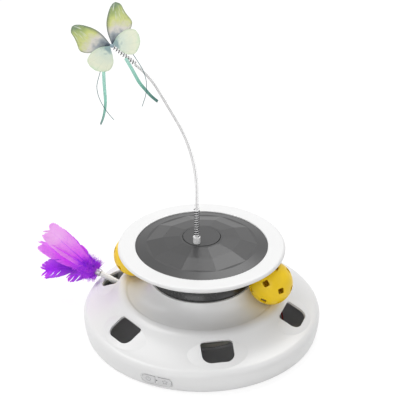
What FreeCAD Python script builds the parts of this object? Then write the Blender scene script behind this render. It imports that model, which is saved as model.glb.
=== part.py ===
import FreeCAD, Part
import Sketcher
import math
import os

# Electric turntable cat teaser: a round base with six windows, a feather that sweeps out of one
# of them, two balls on a track round the neck, and a turning lure on a springy wire on top.
# Millimetres. The origin is where the rotor's axis meets the floor. +Z is up and the control
# panel faces -Y. Azimuths are in degrees from -Y, positive towards +X.

Vector = FreeCAD.Vector
Rotation = FreeCAD.Rotation
Placement = FreeCAD.Placement

doc = FreeCAD.newDocument("CatTeaser")

# Driving dimensions: alias, value
DRIVING = [
    # floor, feet and tray
    ("foot_height", 1.2),
    ("foot_radius", 7.0),
    ("foot_recess", 1.2),
    ("foot_count", 6),
    ("foot_inset", 32.0),
    ("tray_thickness", 2.5),
    ("tray_rim_height", 5.0),
    ("tray_rim_width", 1.8),
    ("tray_gap", 0.3),
    ("guide_width", 1.7),
    ("guide_height", 2.7),
    ("rib_width", 3.0),
    ("ring_gap", 0.3),
    ("pad_radius", 5.0),
    ("post_radius", 2.6),
    ("seat_floor", 1.4),
    ("overlap", 0.5),
    # top shell
    ("wall", 2.5),
    ("skirt_draw", 2.2),
    ("base_radius", 130.0),
    ("widest_height", 17.0),
    ("wall_round", 66.0),
    ("edge_round", 7.8),
    ("shoulder_draw", 5.9),
    ("shoulder_height", 25.0),
    ("hill_round", 62.0),
    ("hill_step", 9.5),
    ("hill_drop", 3.1),
    ("crest_round", 14.0),
    ("crest_step", 2.6),
    ("crest_rise", 0.8),
    ("track_edge_reach", 1.8),
    ("track_bottom", 45.3),
    ("neck_foot_tuck", 0.7),
    ("neck_foot_width", 6.6),
    ("boss_radius", 4.2),
    ("pad_height", 2.5),
    # pods and windows
    ("window_count", 6),
    ("window_width", 34.0),
    ("window_length", 25.0),
    ("window_top_corner", 3.5),
    ("window_low_corner", 10.0),
    ("window_first", 30.0),
    ("window_reach", 12.9),
    ("window_drop", 7.1),
    ("window_tilt", 27.0),
    ("pod_along_round", 200.0),
    ("pod_across_round", 105.0),
    ("pod_half_length", 24.0),
    # balls
    ("ball_radius", 23.5),
    ("ball_wall", 1.8),
    ("ball_circle", 79.0),
    ("ball_gap", 0.7),
    ("ball_hole", 6.5),
    ("ball_hole_count", 18),
    ("bell_radius", 8.0),
    ("bell_wall", 0.8),
    ("bell_slot", 1.6),
    ("bell_gap", 0.8),
    ("pellet_radius", 2.6),
    # neck, deck and cover
    ("collar_wall", 2.4),
    ("collar_step", 1.8),
    ("collar_low_round", 14.0),
    ("collar_flare_round", 26.0),
    ("collar_seat", 6.5),
    ("ledge_width", 3.6),
    ("collar_draw", 2.8),
    ("waist_drop", 2.0),
    ("collar_flare", 9.9),
    ("collar_flange", 2.4),
    ("deck_reach", 11.0),
    ("deck_thickness", 6.2),
    ("deck_gap", 1.6),
    ("rim_overlap", 9.5),
    ("rim_ledge", 2.8),
    ("lip_inset", 5.0),
    ("lip_drop", 1.3),
    ("edge_drop", 3.2),
    ("deck_edge", 3.1),
    ("rim_width", 19.2),
    ("cover_gap", 0.5),
    ("brim_drop", 0.8),
    ("cover_wall", 2.2),
    ("cover_sides", 10),
    ("facet_foot_inset", 11.3),
    ("facet_foot_rise", 2.6),
    ("facet_mid_inset", 17.5),
    ("facet_mid_rise", 5.0),
    ("facet_top_reach", 4.0),
    ("facet_top_rise", 2.4),
    # rotor and lure
    ("rotor_radius", 20.0),
    ("rotor_gap", 0.6),
    ("rotor_thickness", 2.6),
    ("rotor_proud", 0.6),
    ("shaft_radius", 2.0),
    ("shaft_fit", 0.05),
    ("bush_radius", 3.5),
    ("bush_flange", 1.0),
    ("stem_length", 18.1),
    ("plug_offset", 14.3),
    ("plug_radius", 3.9),
    ("plug_height", 8.0),
    ("plug_spigot", 2.4),
    ("plug_depth", 5.0),
    ("plug_crown", 1.0),
    ("plug_gap", 0.15),
    ("slip", 0.1),
    ("base_spring_radius", 2.5),
    ("base_spring_wire", 1.1),
    ("base_spring_pitch", 2.7),
    ("base_spring_turns", 11.5),
    ("tip_spring_radius", 1.9),
    ("tip_spring_wire", 0.8),
    ("tip_spring_pitch", 2.9),
    ("tip_spring_turns", 9),
    ("lure_wire", 1.2),
    ("sleeve_outside", 4.0),
    ("sleeve_inside", 3.0),
    ("sleeve_flare", 5.8),
    ("wire_upright", 55.0),
    ("wire_first_bend", 170.0),
    ("wire_first_turn", 28.0),
    ("wire_straight", 37.5),
    ("wire_second_bend", 94.0),
    ("wire_second_turn", 21.0),
    ("wire_tip", 29.0),
    ("lean_heading", -69.1),
    ("bead_radius", 2.2),
    ("wing_thickness", 0.5),
    ("wing_lift", 14.0),
    ("wing_heading", 29.0),
    ("butterfly_tilt", 20.0),
    ("butterfly_heading", 20.9),
    ("ribbon_width", 3.6),
    ("ribbon_thickness", 0.5),
    ("thread_width", 0.8),
    # drive
    ("gear_module", 0.8),
    ("rotor_teeth", 36),
    ("pinion_teeth", 12),
    ("ring_module", 1.5),
    ("ring_teeth", 68),
    ("ring_pinion_teeth", 10),
    ("gear_backlash", 0.22),
    ("stub_addendum", 0.8),
    ("ring_addendum", 0.5),
    ("gear_lift", 1.0),
    ("gear_width", 6.0),
    ("pinion_extra", 1.0),
    ("motor_width", 12.0),
    ("motor_depth", 10.0),
    ("motor_length", 24.0),
    ("motor_shaft", 1.5),
    ("motor_boss", 2.6),
    ("motor_boss_height", 1.0),
    ("shaft_grip", 4.0),
    ("clip_width", 1.6),
    ("clip_height", 8.0),
    ("plate_thickness", 2.5),
    ("drive_drop", 20.6),
    ("plate_spacing", 11.5),
    ("pillar_radius", 2.5),
    ("pillar_circle", 33.0),
    ("ring_height", 4.8),
    ("ring_thickness", 5.6),
    ("ring_outside", 58.0),
    ("arm_width", 15.0),
    ("arm_height", 7.4),
    ("retainer_height", 11.6),
    ("retainer_thickness", 2.0),
    ("retainer_inner", 44.0),
    ("retainer_outer", 54.0),
    ("retainer_post_circle", 46.6),
    # feather
    ("wand_rise", 19.0),
    ("wand_setback", 21.8),
    ("wand_drop", 12.8),
    ("wand_radius", 3.2),
    ("wand_bore", 2.0),
    ("wand_length", 44.0),
    ("socket_radius", 5.2),
    ("socket_length", 14.0),
    ("socket_foot", 11.0),
    ("peg_radius", 2.4),
    ("ferrule_radius", 4.2),
    ("ferrule_length", 9.0),
    ("plume_root", 2.6),
    ("plume_thickness", 2.0),
    # power
    ("cell_radius", 7.1),
    ("cell_length", 49.2),
    ("cell_pitch", 15.0),
    ("cell_count", 3),
    ("cell_clearance", 0.6),
    ("box_wall", 1.6),
    ("box_end", 3.4),
    ("cell_nub", 2.7),
    ("cell_nub_height", 1.2),
    ("contact_thickness", 0.5),
    ("lead_hole_side", 14.0),
    ("lead_hole_height", 14.0),
    ("door_thickness", 2.0),
    ("door_boss_height", 9.0),
    ("lobe_radius", 5.0),
    ("door_gap", 0.35),
    ("board_thickness", 1.6),
    ("lead_radius", 0.9),
    ("board_width", 44.0),
    ("board_depth", 26.0),
    ("board_height", 9.0),
    ("board_setback", 21.0),
    ("board_post_x", 18.0),
    ("board_post_y", 9.0),
    ("usb_width", 8.9),
    ("usb_height", 3.2),
    ("usb_length", 7.4),
    ("usb_gap", 0.3),
    # control panel
    ("panel_width", 36.0),
    ("panel_height", 12.4),
    ("panel_centre", 10.6),
    ("panel_gap", 0.2),
    ("panel_recess", 0.3),
    ("panel_border", 1.3),
    ("panel_back", 1.4),
    ("lens_radius", 0.8),
    ("button_x", 9.0),
    ("button_skirt", 1.2),
    ("switch_height", 4.3),
    ("button_board_width", 34.0),
    ("button_board_height", 14.0),
    ("button_board_setback", 16.0),
    ("slot_height", 6.0),
    ("button_gap", 0.4),
    ("button_proud", 0.5),
    ("button_travel", 0.8),
    ("divider_width", 2.6),
    # fasteners
    ("case_screw_inset", 13.5),
    ("case_screw_count", 6),
    ("case_screw_first", 14.0),
    ("case_screw_length", 12.0),
    ("screw_fit", 0.05),
    ("case_screw_radius", 1.45),
    ("screw_head_radius", 2.9),
    ("screw_head_height", 1.8),
    ("small_screw_radius", 1.0),
    ("small_screw_depth", 6.0),
    ("small_head_radius", 1.9),
    ("small_head_height", 1.2),
    ("collar_screw_inset", 2.4),
    ("ledge_screw_inset", 1.9),
    ("rim_screw_inset", 3.3),
]

sheet = doc.addObject("Spreadsheet::Sheet", "Sizes")
for row, (alias, value) in enumerate(DRIVING, start=1):
    sheet.set("A%d" % row, alias)
    sheet.set("B%d" % row, str(value))
    sheet.setAlias("B%d" % row, alias)
doc.recompute()


class Size:
    """A number and the sheet formula that it comes from, so that both follow the sheet."""

    def __init__(self, value, text):
        self.value = value
        self.text = text

    def __float__(self):
        return self.value

    def __add__(self, other):
        other = as_size(other)
        return Size(self.value + other.value, "(%s + %s)" % (self.text, other.text))

    def __sub__(self, other):
        other = as_size(other)
        return Size(self.value - other.value, "(%s - %s)" % (self.text, other.text))

    def __mul__(self, other):
        other = as_size(other)
        return Size(self.value * other.value, "(%s * %s)" % (self.text, other.text))

    def __truediv__(self, other):
        other = as_size(other)
        return Size(self.value / other.value, "(%s / %s)" % (self.text, other.text))

    def __neg__(self):
        return Size(-self.value, "(0 - %s)" % self.text)

    def __radd__(self, other):
        return as_size(other) + self

    def __rsub__(self, other):
        return as_size(other) - self

    def __rmul__(self, other):
        return as_size(other) * self


def as_size(number):
    if isinstance(number, Size):
        return number
    return Size(float(number), repr(float(number)))


def root_of(size):
    return Size(math.sqrt(size.value), "sqrt(%s)" % size.text)


class Named:
    """The sheet's sizes by name."""


d = Named()
for alias, value in DRIVING:
    setattr(d, alias, Size(float(sheet.get(alias)), "Sizes." + alias))

# The casing's sizes, which follow its widest radius
skirt_radius = d.base_radius - d.skirt_draw
shoulder_radius = d.base_radius - d.shoulder_draw
foot_circle = d.base_radius - d.foot_inset
case_screw_circle = d.base_radius - d.case_screw_inset
board_y = d.base_radius - d.board_setback
button_board_y = d.base_radius - d.button_board_setback

# Ball track, the slope outside it, its windows and the wand that leaves through one
track_edge_radius = d.ball_circle + d.track_edge_reach
crest_radius = track_edge_radius + d.crest_step
crest_height = d.track_bottom + d.crest_rise
hill_radius = crest_radius + d.hill_step
hill_height = d.track_bottom - d.hill_drop
window_circle = hill_radius + d.window_reach
window_height = hill_height - d.window_drop
wand_root_radius = window_circle - d.wand_setback
wand_root_height = window_height - d.wand_drop

# Neck, inside the balls' circle
neck_foot_radius = d.ball_circle - d.ball_radius + d.neck_foot_tuck
neck_opening = neck_foot_radius - d.neck_foot_width
collar_foot_radius = neck_foot_radius - d.collar_step
collar_waist_radius = collar_foot_radius - d.collar_draw
collar_top_radius = collar_waist_radius + d.collar_flare
collar_screw_circle = collar_foot_radius - d.collar_screw_inset
ledge_screw_circle = collar_waist_radius - d.collar_wall - d.ledge_screw_inset
rim_screw_circle = collar_top_radius - d.rim_screw_inset
rim_inner_radius = collar_top_radius - d.rim_overlap

# Deck over the balls, its cover and its rotor
deck_radius = d.ball_circle + d.deck_reach
lip_radius = deck_radius - d.lip_inset
deck_underside = d.track_bottom + d.ball_gap + d.ball_radius * 2 + d.deck_gap
deck_height = deck_underside + d.deck_thickness
lip_height = deck_underside - d.lip_drop
edge_height = deck_height - d.edge_drop
lower_plate_height = deck_underside - d.drive_drop
collar_waist_height = lower_plate_height - d.waist_drop
cover_radius = deck_radius - d.rim_width
cover_brim = deck_height - d.brim_drop
facet_foot_radius = cover_radius - d.facet_foot_inset
facet_foot_height = cover_brim + d.facet_foot_rise
facet_mid_radius = facet_foot_radius - d.facet_mid_inset
facet_mid_height = facet_foot_height + d.facet_mid_rise
facet_top_radius = d.rotor_radius + d.facet_top_reach
facet_top_height = facet_mid_height + d.facet_top_rise
rotor_height = facet_top_height + d.rotor_proud
stem_foot = rotor_height - d.stem_length


def bind(thing, name, size):
    """Set a property and tie it to the sheet."""
    size = as_size(size)
    setattr(thing, name, size.value)
    thing.setExpression(name, size.text)


def place(thing, x=0.0, y=0.0, z=0.0, turn=None):
    """Put an object somewhere, with the sizes among its coordinates tied to the sheet."""
    thing.Placement = Placement(Vector(float(x), float(y), float(z)), turn or Rotation())
    for letter, number in (("x", x), ("y", y), ("z", z)):
        if isinstance(number, Size):
            thing.setExpression("Placement.Base." + letter, number.text)
    return thing


def cylinder(name, radius, length, x=0.0, y=0.0, z=0.0, turn=None):
    thing = doc.addObject("Part::Cylinder", name)
    bind(thing, "Radius", radius)
    bind(thing, "Height", length)
    return place(thing, x, y, z, turn)


def box(name, width, depth, height, x=0.0, y=0.0, z=0.0):
    """A box centred on x and y that stands on z."""
    thing = doc.addObject("Part::Box", name)
    bind(thing, "Length", width)
    bind(thing, "Width", depth)
    bind(thing, "Height", height)
    return place(thing, x - as_size(width) / 2, y - as_size(depth) / 2, z)


def cut(name, base, *tools):
    """The base with each tool taken away."""
    thing = doc.addObject("Part::Cut", name)
    thing.Base = base
    thing.Tool = tools[0] if len(tools) == 1 else fuse(name + "_tools", *tools)
    return thing


def fuse(name, *shapes):
    thing = doc.addObject("Part::MultiFuse", name)
    thing.Shapes = list(shapes)
    return thing


def common(name, *shapes):
    thing = doc.addObject("Part::MultiCommon", name)
    thing.Shapes = list(shapes)
    return thing


def feature(name, shape, placement=None):
    """A piece whose shape comes from Part's own functions."""
    thing = doc.addObject("Part::Feature", name)
    thing.Shape = shape
    if placement:
        thing.Placement = placement.multiply(thing.Placement)
    return thing


def polar(azimuth, radius, height=0.0):
    """The point at an azimuth from -Y, positive towards +X."""
    angle = math.radians(float(azimuth))
    return Vector(float(radius) * math.sin(angle), -float(radius) * math.cos(angle), float(height))


def arc_middle(first, last, radius):
    """Centre and middle of the short arc from first to last, which bends left if radius > 0."""
    chord = last - first
    half = chord.Length / 2
    left = Vector(-chord.y, chord.x, 0).normalize()
    reach = math.sqrt(max(radius * radius - half * half, 0.0))
    side = 1 if radius > 0 else -1
    centre = (first + last) * 0.5 + left * (side * reach)
    return centre, centre - left * (side * abs(radius))


def draw(sketch, corners, holes=()):
    """Draw a closed outline. A corner is (x, y), or (x, y, radius) where an arc follows it."""
    count = len(corners)
    points = [Vector(float(c[0]), float(c[1]), 0) for c in corners]
    starts = []
    for i, corner in enumerate(corners):
        first = points[i]
        last = points[(i + 1) % count]
        if len(corner) == 2:
            sketch.addGeometry(Part.LineSegment(first, last), False)
            starts.append((1, 2))
            continue
        radius = float(corner[2])
        centre = arc_middle(first, last, radius)[0]
        ends = (first, last) if radius > 0 else (last, first)
        start, stop = [math.atan2(p.y - centre.y, p.x - centre.x) for p in ends]
        circle = Part.Circle(centre, Vector(0, 0, 1), abs(radius))
        sketch.addGeometry(Part.ArcOfCircle(circle, start, stop), False)
        starts.append((1, 2) if radius > 0 else (2, 1))
        rule = sketch.addConstraint(Sketcher.Constraint("Radius", i, abs(radius)))
        if isinstance(corner[2], Size):
            text = corner[2].text if radius > 0 else (-corner[2]).text
            sketch.setExpression("Constraints[%d]" % rule, text)
    for i in range(count):
        after = (i + 1) % count
        sketch.addConstraint(Sketcher.Constraint("Coincident", i, starts[i][1], after, starts[after][0]))
    for i, corner in enumerate(corners):
        pin(sketch, i, starts[i][0], corner[0], corner[1])
    for x, y, radius in holes:
        circle = Part.Circle(Vector(float(x), float(y), 0), Vector(0, 0, 1), float(radius))
        index = sketch.addGeometry(circle, False)
        rule = sketch.addConstraint(Sketcher.Constraint("Radius", index, float(radius)))
        if isinstance(radius, Size):
            sketch.setExpression("Constraints[%d]" % rule, radius.text)
        pin(sketch, index, 3, x, y)


def pin(sketch, index, end, x, y):
    """Hold one point of the sketch at its coordinates."""
    for kind, axis, number in (("DistanceX", -2, x), ("DistanceY", -1, y)):
        if float(number) == 0 and not isinstance(number, Size):
            sketch.addConstraint(Sketcher.Constraint("PointOnObject", index, end, axis))
            continue
        rule = sketch.addConstraint(Sketcher.Constraint(kind, -1, 1, index, end, float(number)))
        if isinstance(number, Size):
            sketch.setExpression("Constraints[%d]" % rule, number.text)


def sketch_on(body, role, corners, holes=()):
    sketch = body.newObject("Sketcher::SketchObject", body.Name + "_outline")
    plane = [f for f in body.Origin.OriginFeatures if f.Role == role][0]
    sketch.AttachmentSupport = [(plane, "")]
    sketch.MapMode = "FlatFace"
    draw(sketch, corners, holes)
    return sketch


def turned(name, corners):
    """A body turned about Z from an outline of (radius, height) corners."""
    body = doc.addObject("PartDesign::Body", name)
    sketch = sketch_on(body, "XZ_Plane", corners)
    turn = body.newObject("PartDesign::Revolution", name + "_turn")
    turn.Profile = sketch
    turn.ReferenceAxis = (sketch, ["V_Axis"])
    turn.Angle = 360
    return body


def plate(name, corners, thickness, z=0.0, holes=()):
    """A body padded up from an outline of (x, y) corners."""
    body = doc.addObject("PartDesign::Body", name)
    sketch = sketch_on(body, "XY_Plane", corners, holes)
    pad = body.newObject("PartDesign::Pad", name + "_pad")
    pad.Profile = sketch
    bind(pad, "Length", thickness)
    return place(body, 0.0, 0.0, z)


def rounded(width, height, top_corner, low_corner):
    """Outline of an upright rectangle whose upper and lower corners have their own radii."""
    half = as_size(width) / 2
    tall = as_size(height) / 2
    top = as_size(top_corner)
    low = as_size(low_corner)
    return [
        (low - half, -tall), (half - low, -tall, low), (half, low - tall), (half, tall - top, top),
        (half - top, tall), (top - half, tall, top), (-half, tall - top), (-half, low - tall, low),
    ]


def copies(name, shape, places):
    """One node that holds a copy of the shape at each place."""
    solids = []
    for spot in places:
        solid = shape.copy()
        solid.Placement = spot.multiply(solid.Placement)
        solids.append(solid)
    return feature(name, Part.makeCompound(solids))


def around(count, radius, height=0.0, first=0.0):
    """Placements spaced evenly about Z, each turned with its azimuth."""
    spots = []
    for i in range(int(round(float(count)))):
        azimuth = float(first) + 360.0 * i / int(round(float(count)))
        spots.append(Placement(polar(azimuth, radius, height), Rotation(Vector(0, 0, 1), azimuth)))
    return spots


def ring_of(name, shape, count, radius, height=0.0, first=0.0):
    return copies(name, shape, around(count, radius, height, first))


def involute(angle):
    return math.tan(angle) - angle


def gear_wire(teeth, gear_module, tip, root, gap, phase=0.0):
    """Outline of a spur gear at 20 degrees, with a tooth centred at phase degrees from +X."""
    pitch = teeth * gear_module / 2
    base = pitch * math.cos(math.radians(20))
    half_pitch = (math.pi * gear_module / 2 - gap) / (2 * pitch) + involute(math.radians(20))
    low = max(base, root)
    radii = [low + (tip - low) * i / 4 for i in range(5)]
    halves = [half_pitch - involute(math.acos(min(1.0, base / r))) for r in radii]
    edges = []
    step = 2 * math.pi / teeth

    def at(radius, angle):
        return Vector(radius * math.cos(angle), radius * math.sin(angle), 0)

    for i in range(teeth):
        middle = math.radians(phase) + i * step
        rise = [at(r, middle - half) for r, half in zip(radii, halves)]
        fall = [at(r, middle + half) for r, half in zip(reversed(radii), reversed(halves))]
        foot_in = at(root, middle - halves[0])
        foot_out = at(root, middle + halves[0])
        if root < low - 1e-6:
            edges.append(Part.makeLine(foot_in, rise[0]))
        for points in (rise, fall):
            flank = Part.BSplineCurve()
            flank.interpolate(points)
            if points is fall:
                edges.append(Part.Arc(rise[-1], at(tip, middle), fall[0]).toShape())
            edges.append(flank.toShape())
        if root < low - 1e-6:
            edges.append(Part.makeLine(fall[-1], foot_out))
        next_foot = at(root, middle + step - halves[0])
        edges.append(Part.Arc(foot_out, at(root, middle + step / 2), next_foot).toShape())
    return Part.Wire(edges)


def gear_solid(teeth, gear_module, height, gap, addendum=1.0, phase=0.0):
    pitch = teeth * gear_module / 2
    outline = gear_wire(teeth, gear_module, pitch + addendum * gear_module,
                        pitch - 1.25 * gear_module, gap, phase)
    return Part.Face(outline).extrude(Vector(0, 0, height))


def unit(vector):
    return Vector(vector).normalize()


def tube_path(points):
    """Straight runs joined by arcs, each as large as its two runs allow. Returns the wire."""
    points = [Vector(*p) for p in points]
    runs = [(b - a).Length for a, b in zip(points, points[1:])]
    edges = []
    radii = []
    start = points[0]
    for i in range(1, len(points) - 1):
        before = unit(points[i] - points[i - 1])
        after = unit(points[i + 1] - points[i])
        turn = before.getAngle(after)
        short = min(runs[i - 1], runs[i])
        cut_back = 0.45 * short
        radius = cut_back / math.tan(turn / 2)
        radii.append(radius)
        entry = points[i] - before * cut_back
        leave = points[i] + after * cut_back
        centre_way = unit(after - before)
        middle = points[i] + centre_way * (radius / math.cos(turn / 2) - radius)
        edges.append(Part.makeLine(start, entry))
        edges.append(Part.Arc(entry, middle, leave).toShape())
        start = leave
    edges.append(Part.makeLine(start, points[-1]))
    return Part.Wire(edges), radii


def swept(path, section):
    """A solid swept along a path from a section wire at its start."""
    return path.makePipeShell([section], True, False)


def ring_section(path, radius):
    start = path.Edges[0]
    way = start.tangentAt(start.FirstParameter)
    circle = Part.Circle(start.valueAt(start.FirstParameter), way, radius)
    return Part.Wire([circle.toShape()])


def cord(name, points, radius):
    """A round cord's tube, with its radii and its volume printed."""
    path, radii = tube_path(points)
    solid = swept(path, ring_section(path, radius))
    share = solid.Volume / (math.pi * radius * radius * path.Length)
    print("%s: length %.1f, least radius %.1f, volume share %.4f"
          % (name, path.Length, min(radii), share))
    return solid


def flat_cord(name, points, width, thickness, across):
    """A ribbon's strip, whose width lies along the plane of its route."""
    path, radii = tube_path(points)
    start = path.Edges[0]
    way = start.tangentAt(start.FirstParameter)
    foot = start.valueAt(start.FirstParameter)
    out = unit(Vector(across))
    side = unit(way.cross(out))
    corners = [foot + side * (u * width / 2) + out * (v * thickness / 2)
               for u, v in ((-1, -1), (1, -1), (1, 1), (-1, 1))]
    solid = swept(path, Part.makePolygon(corners + corners[:1]))
    share = solid.Volume / (width * thickness * path.Length)
    print("%s: length %.1f, least radius %.1f, volume share %.4f"
          % (name, path.Length, min(radii), share))
    return solid


def arc_between(first, tangent, last):
    """The arc from first, along its tangent, to last."""
    chord = last - first
    half = tangent.getAngle(chord)
    if half < 1e-7:
        return Part.makeLine(first, last)
    peak = unit(tangent - unit(chord) * math.cos(half))
    middle = (first + last) * 0.5 + peak * (chord.Length / 2 * math.tan(half / 2))
    return Part.Arc(first, middle, last).toShape()


def spring(name, mean, wire, pitch, turns):
    """A coil up Z from the origin as one tube on pairs of arcs, a quarter turn each."""
    rise = pitch / (2 * math.pi)
    length = math.hypot(mean, rise)

    def at(angle):
        return Vector(mean * math.cos(angle), mean * math.sin(angle), rise * angle)

    def along(angle):
        return Vector(-mean * math.sin(angle), mean * math.cos(angle), rise) / length

    steps = int(round(turns * 4))
    edges = [Part.makeLine(at(0) - along(0) * wire, at(0))]
    for i in range(steps):
        a = i * math.pi / 2
        b = a + math.pi / 2
        chord = at(b) - at(a)
        both = along(a) + along(b)
        spread = 2 * (1 - along(a).dot(along(b)))
        reach = (math.sqrt(chord.dot(both) ** 2 + spread * chord.dot(chord)) - chord.dot(both)) / spread
        joint = (at(a) + along(a) * reach + at(b) - along(b) * reach) * 0.5
        edges.append(arc_between(at(a), along(a), joint))
        edges.append(arc_between(joint, unit(at(b) - along(b) * reach - joint), at(b)))
    top = steps * math.pi / 2
    edges.append(Part.makeLine(at(top), at(top) + along(top) * wire))
    path = Part.Wire(edges)
    samples = path.discretize(Distance=wire / 4)
    far = int(round(2 * math.pi * mean * 0.5 / (wire / 4)))
    gap = min((samples[i] - samples[j]).Length for i in range(len(samples))
              for j in range(i + far, min(len(samples), i + 3 * far))) - wire
    print("%s: least gap to itself %.2f" % (name, gap))
    return swept(path, ring_section(path, wire / 2))


# Heights and radii that several pieces share, and a length that passes through any piece
through = deck_underside + d.deck_thickness * 2
floor = d.foot_height
tray_top = floor + d.tray_thickness
boss_foot = tray_top + d.pad_height
ball_height = d.track_bottom + d.ball_radius + d.ball_gap
track_round = d.ball_radius + d.ball_gap


def track_height(radius, inset=0.0):
    """Height of the ball track's surface at a radius, or of its inner side a wall below it."""
    reach = track_round + inset
    across = d.ball_circle - radius
    return ball_height - root_of(reach * reach - across * across)


neck_foot_height = track_height(neck_foot_radius)


def shell_outline(inset):
    """The top shell's outside, closed to the axis, or its inside at an inset of one wall."""
    inset = as_size(inset)
    reach = track_round + inset
    drop = ball_height - neck_foot_height + inset
    foot_radius = d.ball_circle - root_of(reach * reach - drop * drop)
    return [
        (0.0, floor),
        (skirt_radius - inset, floor, d.wall_round),
        (d.base_radius - inset, d.widest_height, d.edge_round - inset * 0.8),
        (shoulder_radius - inset * 0.3, d.shoulder_height - inset * 0.96, -(d.hill_round + inset)),
        (hill_radius - inset * 0.7, hill_height - inset * 0.71, d.crest_round - inset),
        (crest_radius, crest_height - inset),
        (track_edge_radius, track_height(track_edge_radius, inset), -reach),
        (foot_radius, neck_foot_height - inset),
        (0.0, neck_foot_height - inset),
    ]


def azimuths(count, first):
    number = int(round(float(count)))
    return [float(first) + 360.0 * i / number for i in range(number)]


def window_frame(azimuth, lift=0.0):
    """A window's own plane: X along the rim, Y up the slope and Z outwards, lifted along Z."""
    tilt = Rotation(Vector(1, 0, 0), float(d.window_tilt))
    spot = Placement(polar(azimuth, window_circle, window_height),
                     Rotation(Vector(0, 0, 1), azimuth).multiply(tilt))
    return spot.multiply(Placement(Vector(0, 0, float(lift)), Rotation()))


def pod_set(name, inset):
    """Six barrel-shaped pods, each turned about a line below its window and trimmed at the shoulder."""
    inset = as_size(inset)
    across = d.pod_across_round - inset
    along = d.pod_along_round - inset
    half = d.pod_half_length
    end = across - along + root_of(along * along - half * half)
    barrels = []
    for i, azimuth in enumerate(azimuths(d.window_count, d.window_first)):
        barrel = turned("%s_%d" % (name, i), [(0.0, -half), (end, -half, along), (end, half), (0.0, half)])
        lie = Placement(Vector(0, 0, -float(d.pod_across_round)), Rotation(Vector(1, 0, 0), -90))
        barrel.Placement = window_frame(azimuth).multiply(lie)
        barrels.append(barrel)
    belt = cylinder(name + "_belt", shoulder_radius - inset * 0.3, through, z=d.widest_height)
    return [common("%s_cut_%d" % (name, i), barrel, belt) for i, barrel in enumerate(barrels)]


def standing(name, radius, foot, height, azimuth, circle):
    """An upright cylinder at an azimuth."""
    spot = polar(azimuth, 1.0)
    return cylinder(name, radius, height, as_size(circle) * spot.x, as_size(circle) * spot.y, foot)


def wall_band(name, outer, inner):
    """A ring that follows the base's wall, from one depth under its outside to another."""
    return turned(name, [
        (skirt_radius - outer, floor, d.wall_round), (d.base_radius - outer, d.widest_height),
        (d.base_radius - outer, d.shoulder_height), (d.base_radius - inner, d.shoulder_height),
        (d.base_radius - inner, d.widest_height, -d.wall_round), (skirt_radius - inner, floor),
    ])


def pill(name, width, height, x=0.0, deep=20.0):
    """A bar with round ends that runs along Y through the front wall."""
    end = as_size(height) / 2
    body = plate(name, rounded(width, height, end - 0.01, end - 0.01), deep)
    body.Placement = Placement(Vector(0, 0, 0), Rotation(Vector(1, 0, 0), 90))
    return place(body, x, -(d.base_radius - deep / 2), d.panel_centre, Rotation(Vector(1, 0, 0), 90))


# Top shell
screw_azimuths = azimuths(d.case_screw_count, d.case_screw_first)
screw_bosses = [standing("screw_boss_%d" % i, d.boss_radius, boss_foot, through, a, case_screw_circle)
                for i, a in enumerate(screw_azimuths)]
screw_pilots = [standing("screw_pilot_%d" % i, d.case_screw_radius + d.screw_fit, floor,
                         d.case_screw_length + 3.0, a, case_screw_circle)
                for i, a in enumerate(screw_azimuths)]
outside = fuse("shell_outside", turned("shell_body", shell_outline(0.0)), *pod_set("pod", 0.0))
inside = fuse("shell_inside", turned("shell_hollow", shell_outline(d.wall)), *pod_set("pod_hollow", d.wall))
window_cuts = []
for i, azimuth in enumerate(azimuths(d.window_count, d.window_first)):
    opening = plate("window_%d" % i, rounded(d.window_width, d.window_length,
                                             d.window_top_corner, d.window_low_corner), 24.0)
    opening.Placement = window_frame(azimuth, -12)
    window_cuts.append(opening)

# Places that the shell shares with what is inside it
board_top = d.board_height + d.board_thickness
ring_pinion_x = d.ring_module * (d.ring_teeth - d.ring_pinion_teeth) / 2
collar_screw_holes = [standing("collar_screw_hole_%d" % i, d.small_screw_radius + d.slip,
                               neck_foot_height - d.wall * 2, d.wall * 4, a, collar_screw_circle)
                      for i, a in enumerate(azimuths(4, 45.0))]
wide_pill = pill("panel_hole", d.panel_width + d.panel_gap * 2, d.panel_height + d.panel_gap * 2)
usb_hole = place(plate("usb_hole", rounded(d.usb_width + d.usb_gap * 2, d.usb_height + d.usb_gap * 2,
                                           d.usb_height / 2, d.usb_height / 2), 20.0),
                 0.0, d.base_radius + 5.0, board_top + d.usb_height / 2, Rotation(Vector(1, 0, 0), 90))
top_shell = cut("top_shell", outside, cut("shell_room", inside, *screw_bosses),
                cylinder("neck_hole", neck_opening, neck_foot_height, z=floor), wide_pill, usb_hole,
                *(window_cuts + screw_pilots + collar_screw_holes))

# Base tray
tray_radius = skirt_radius - d.wall - d.tray_gap
guide_inner = d.ring_outside + d.ring_gap
guide_outer = guide_inner + d.guide_width
rib_outer = d.ring_outside - 1.0
rib_inner = rib_outer - d.rib_width
rib_top = d.ring_height - d.ring_gap - 0.1
rim_inner = tray_radius - d.tray_rim_width
tray_plate = turned("tray_plate", [
    (0.0, floor), (tray_radius, floor), (tray_radius, tray_top + d.tray_rim_height),
    (rim_inner, tray_top + d.tray_rim_height), (rim_inner, tray_top), (guide_outer, tray_top),
    (guide_outer, tray_top + d.guide_height), (guide_inner, tray_top + d.guide_height),
    (guide_inner, tray_top), (rib_outer, tray_top), (rib_outer, rib_top), (rib_inner, rib_top),
    (rib_inner, tray_top), (0.0, tray_top),
])
room_width = d.cell_pitch * (d.cell_count - 1) + d.cell_radius * 2 + d.cell_clearance * 2
room_length = d.cell_length + d.box_end * 2
room_foot = floor + d.door_thickness
room_top = room_foot + d.cell_clearance + d.cell_radius * 2 + d.cell_clearance
box_width = room_width + d.box_wall * 2
box_length = room_length + d.box_wall * 2
door_width = room_width + d.box_wall
door_length = room_length + d.box_wall
lobe_y = box_length / 2 + d.lobe_radius - 2.0
retainer_foot = d.retainer_height
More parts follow.
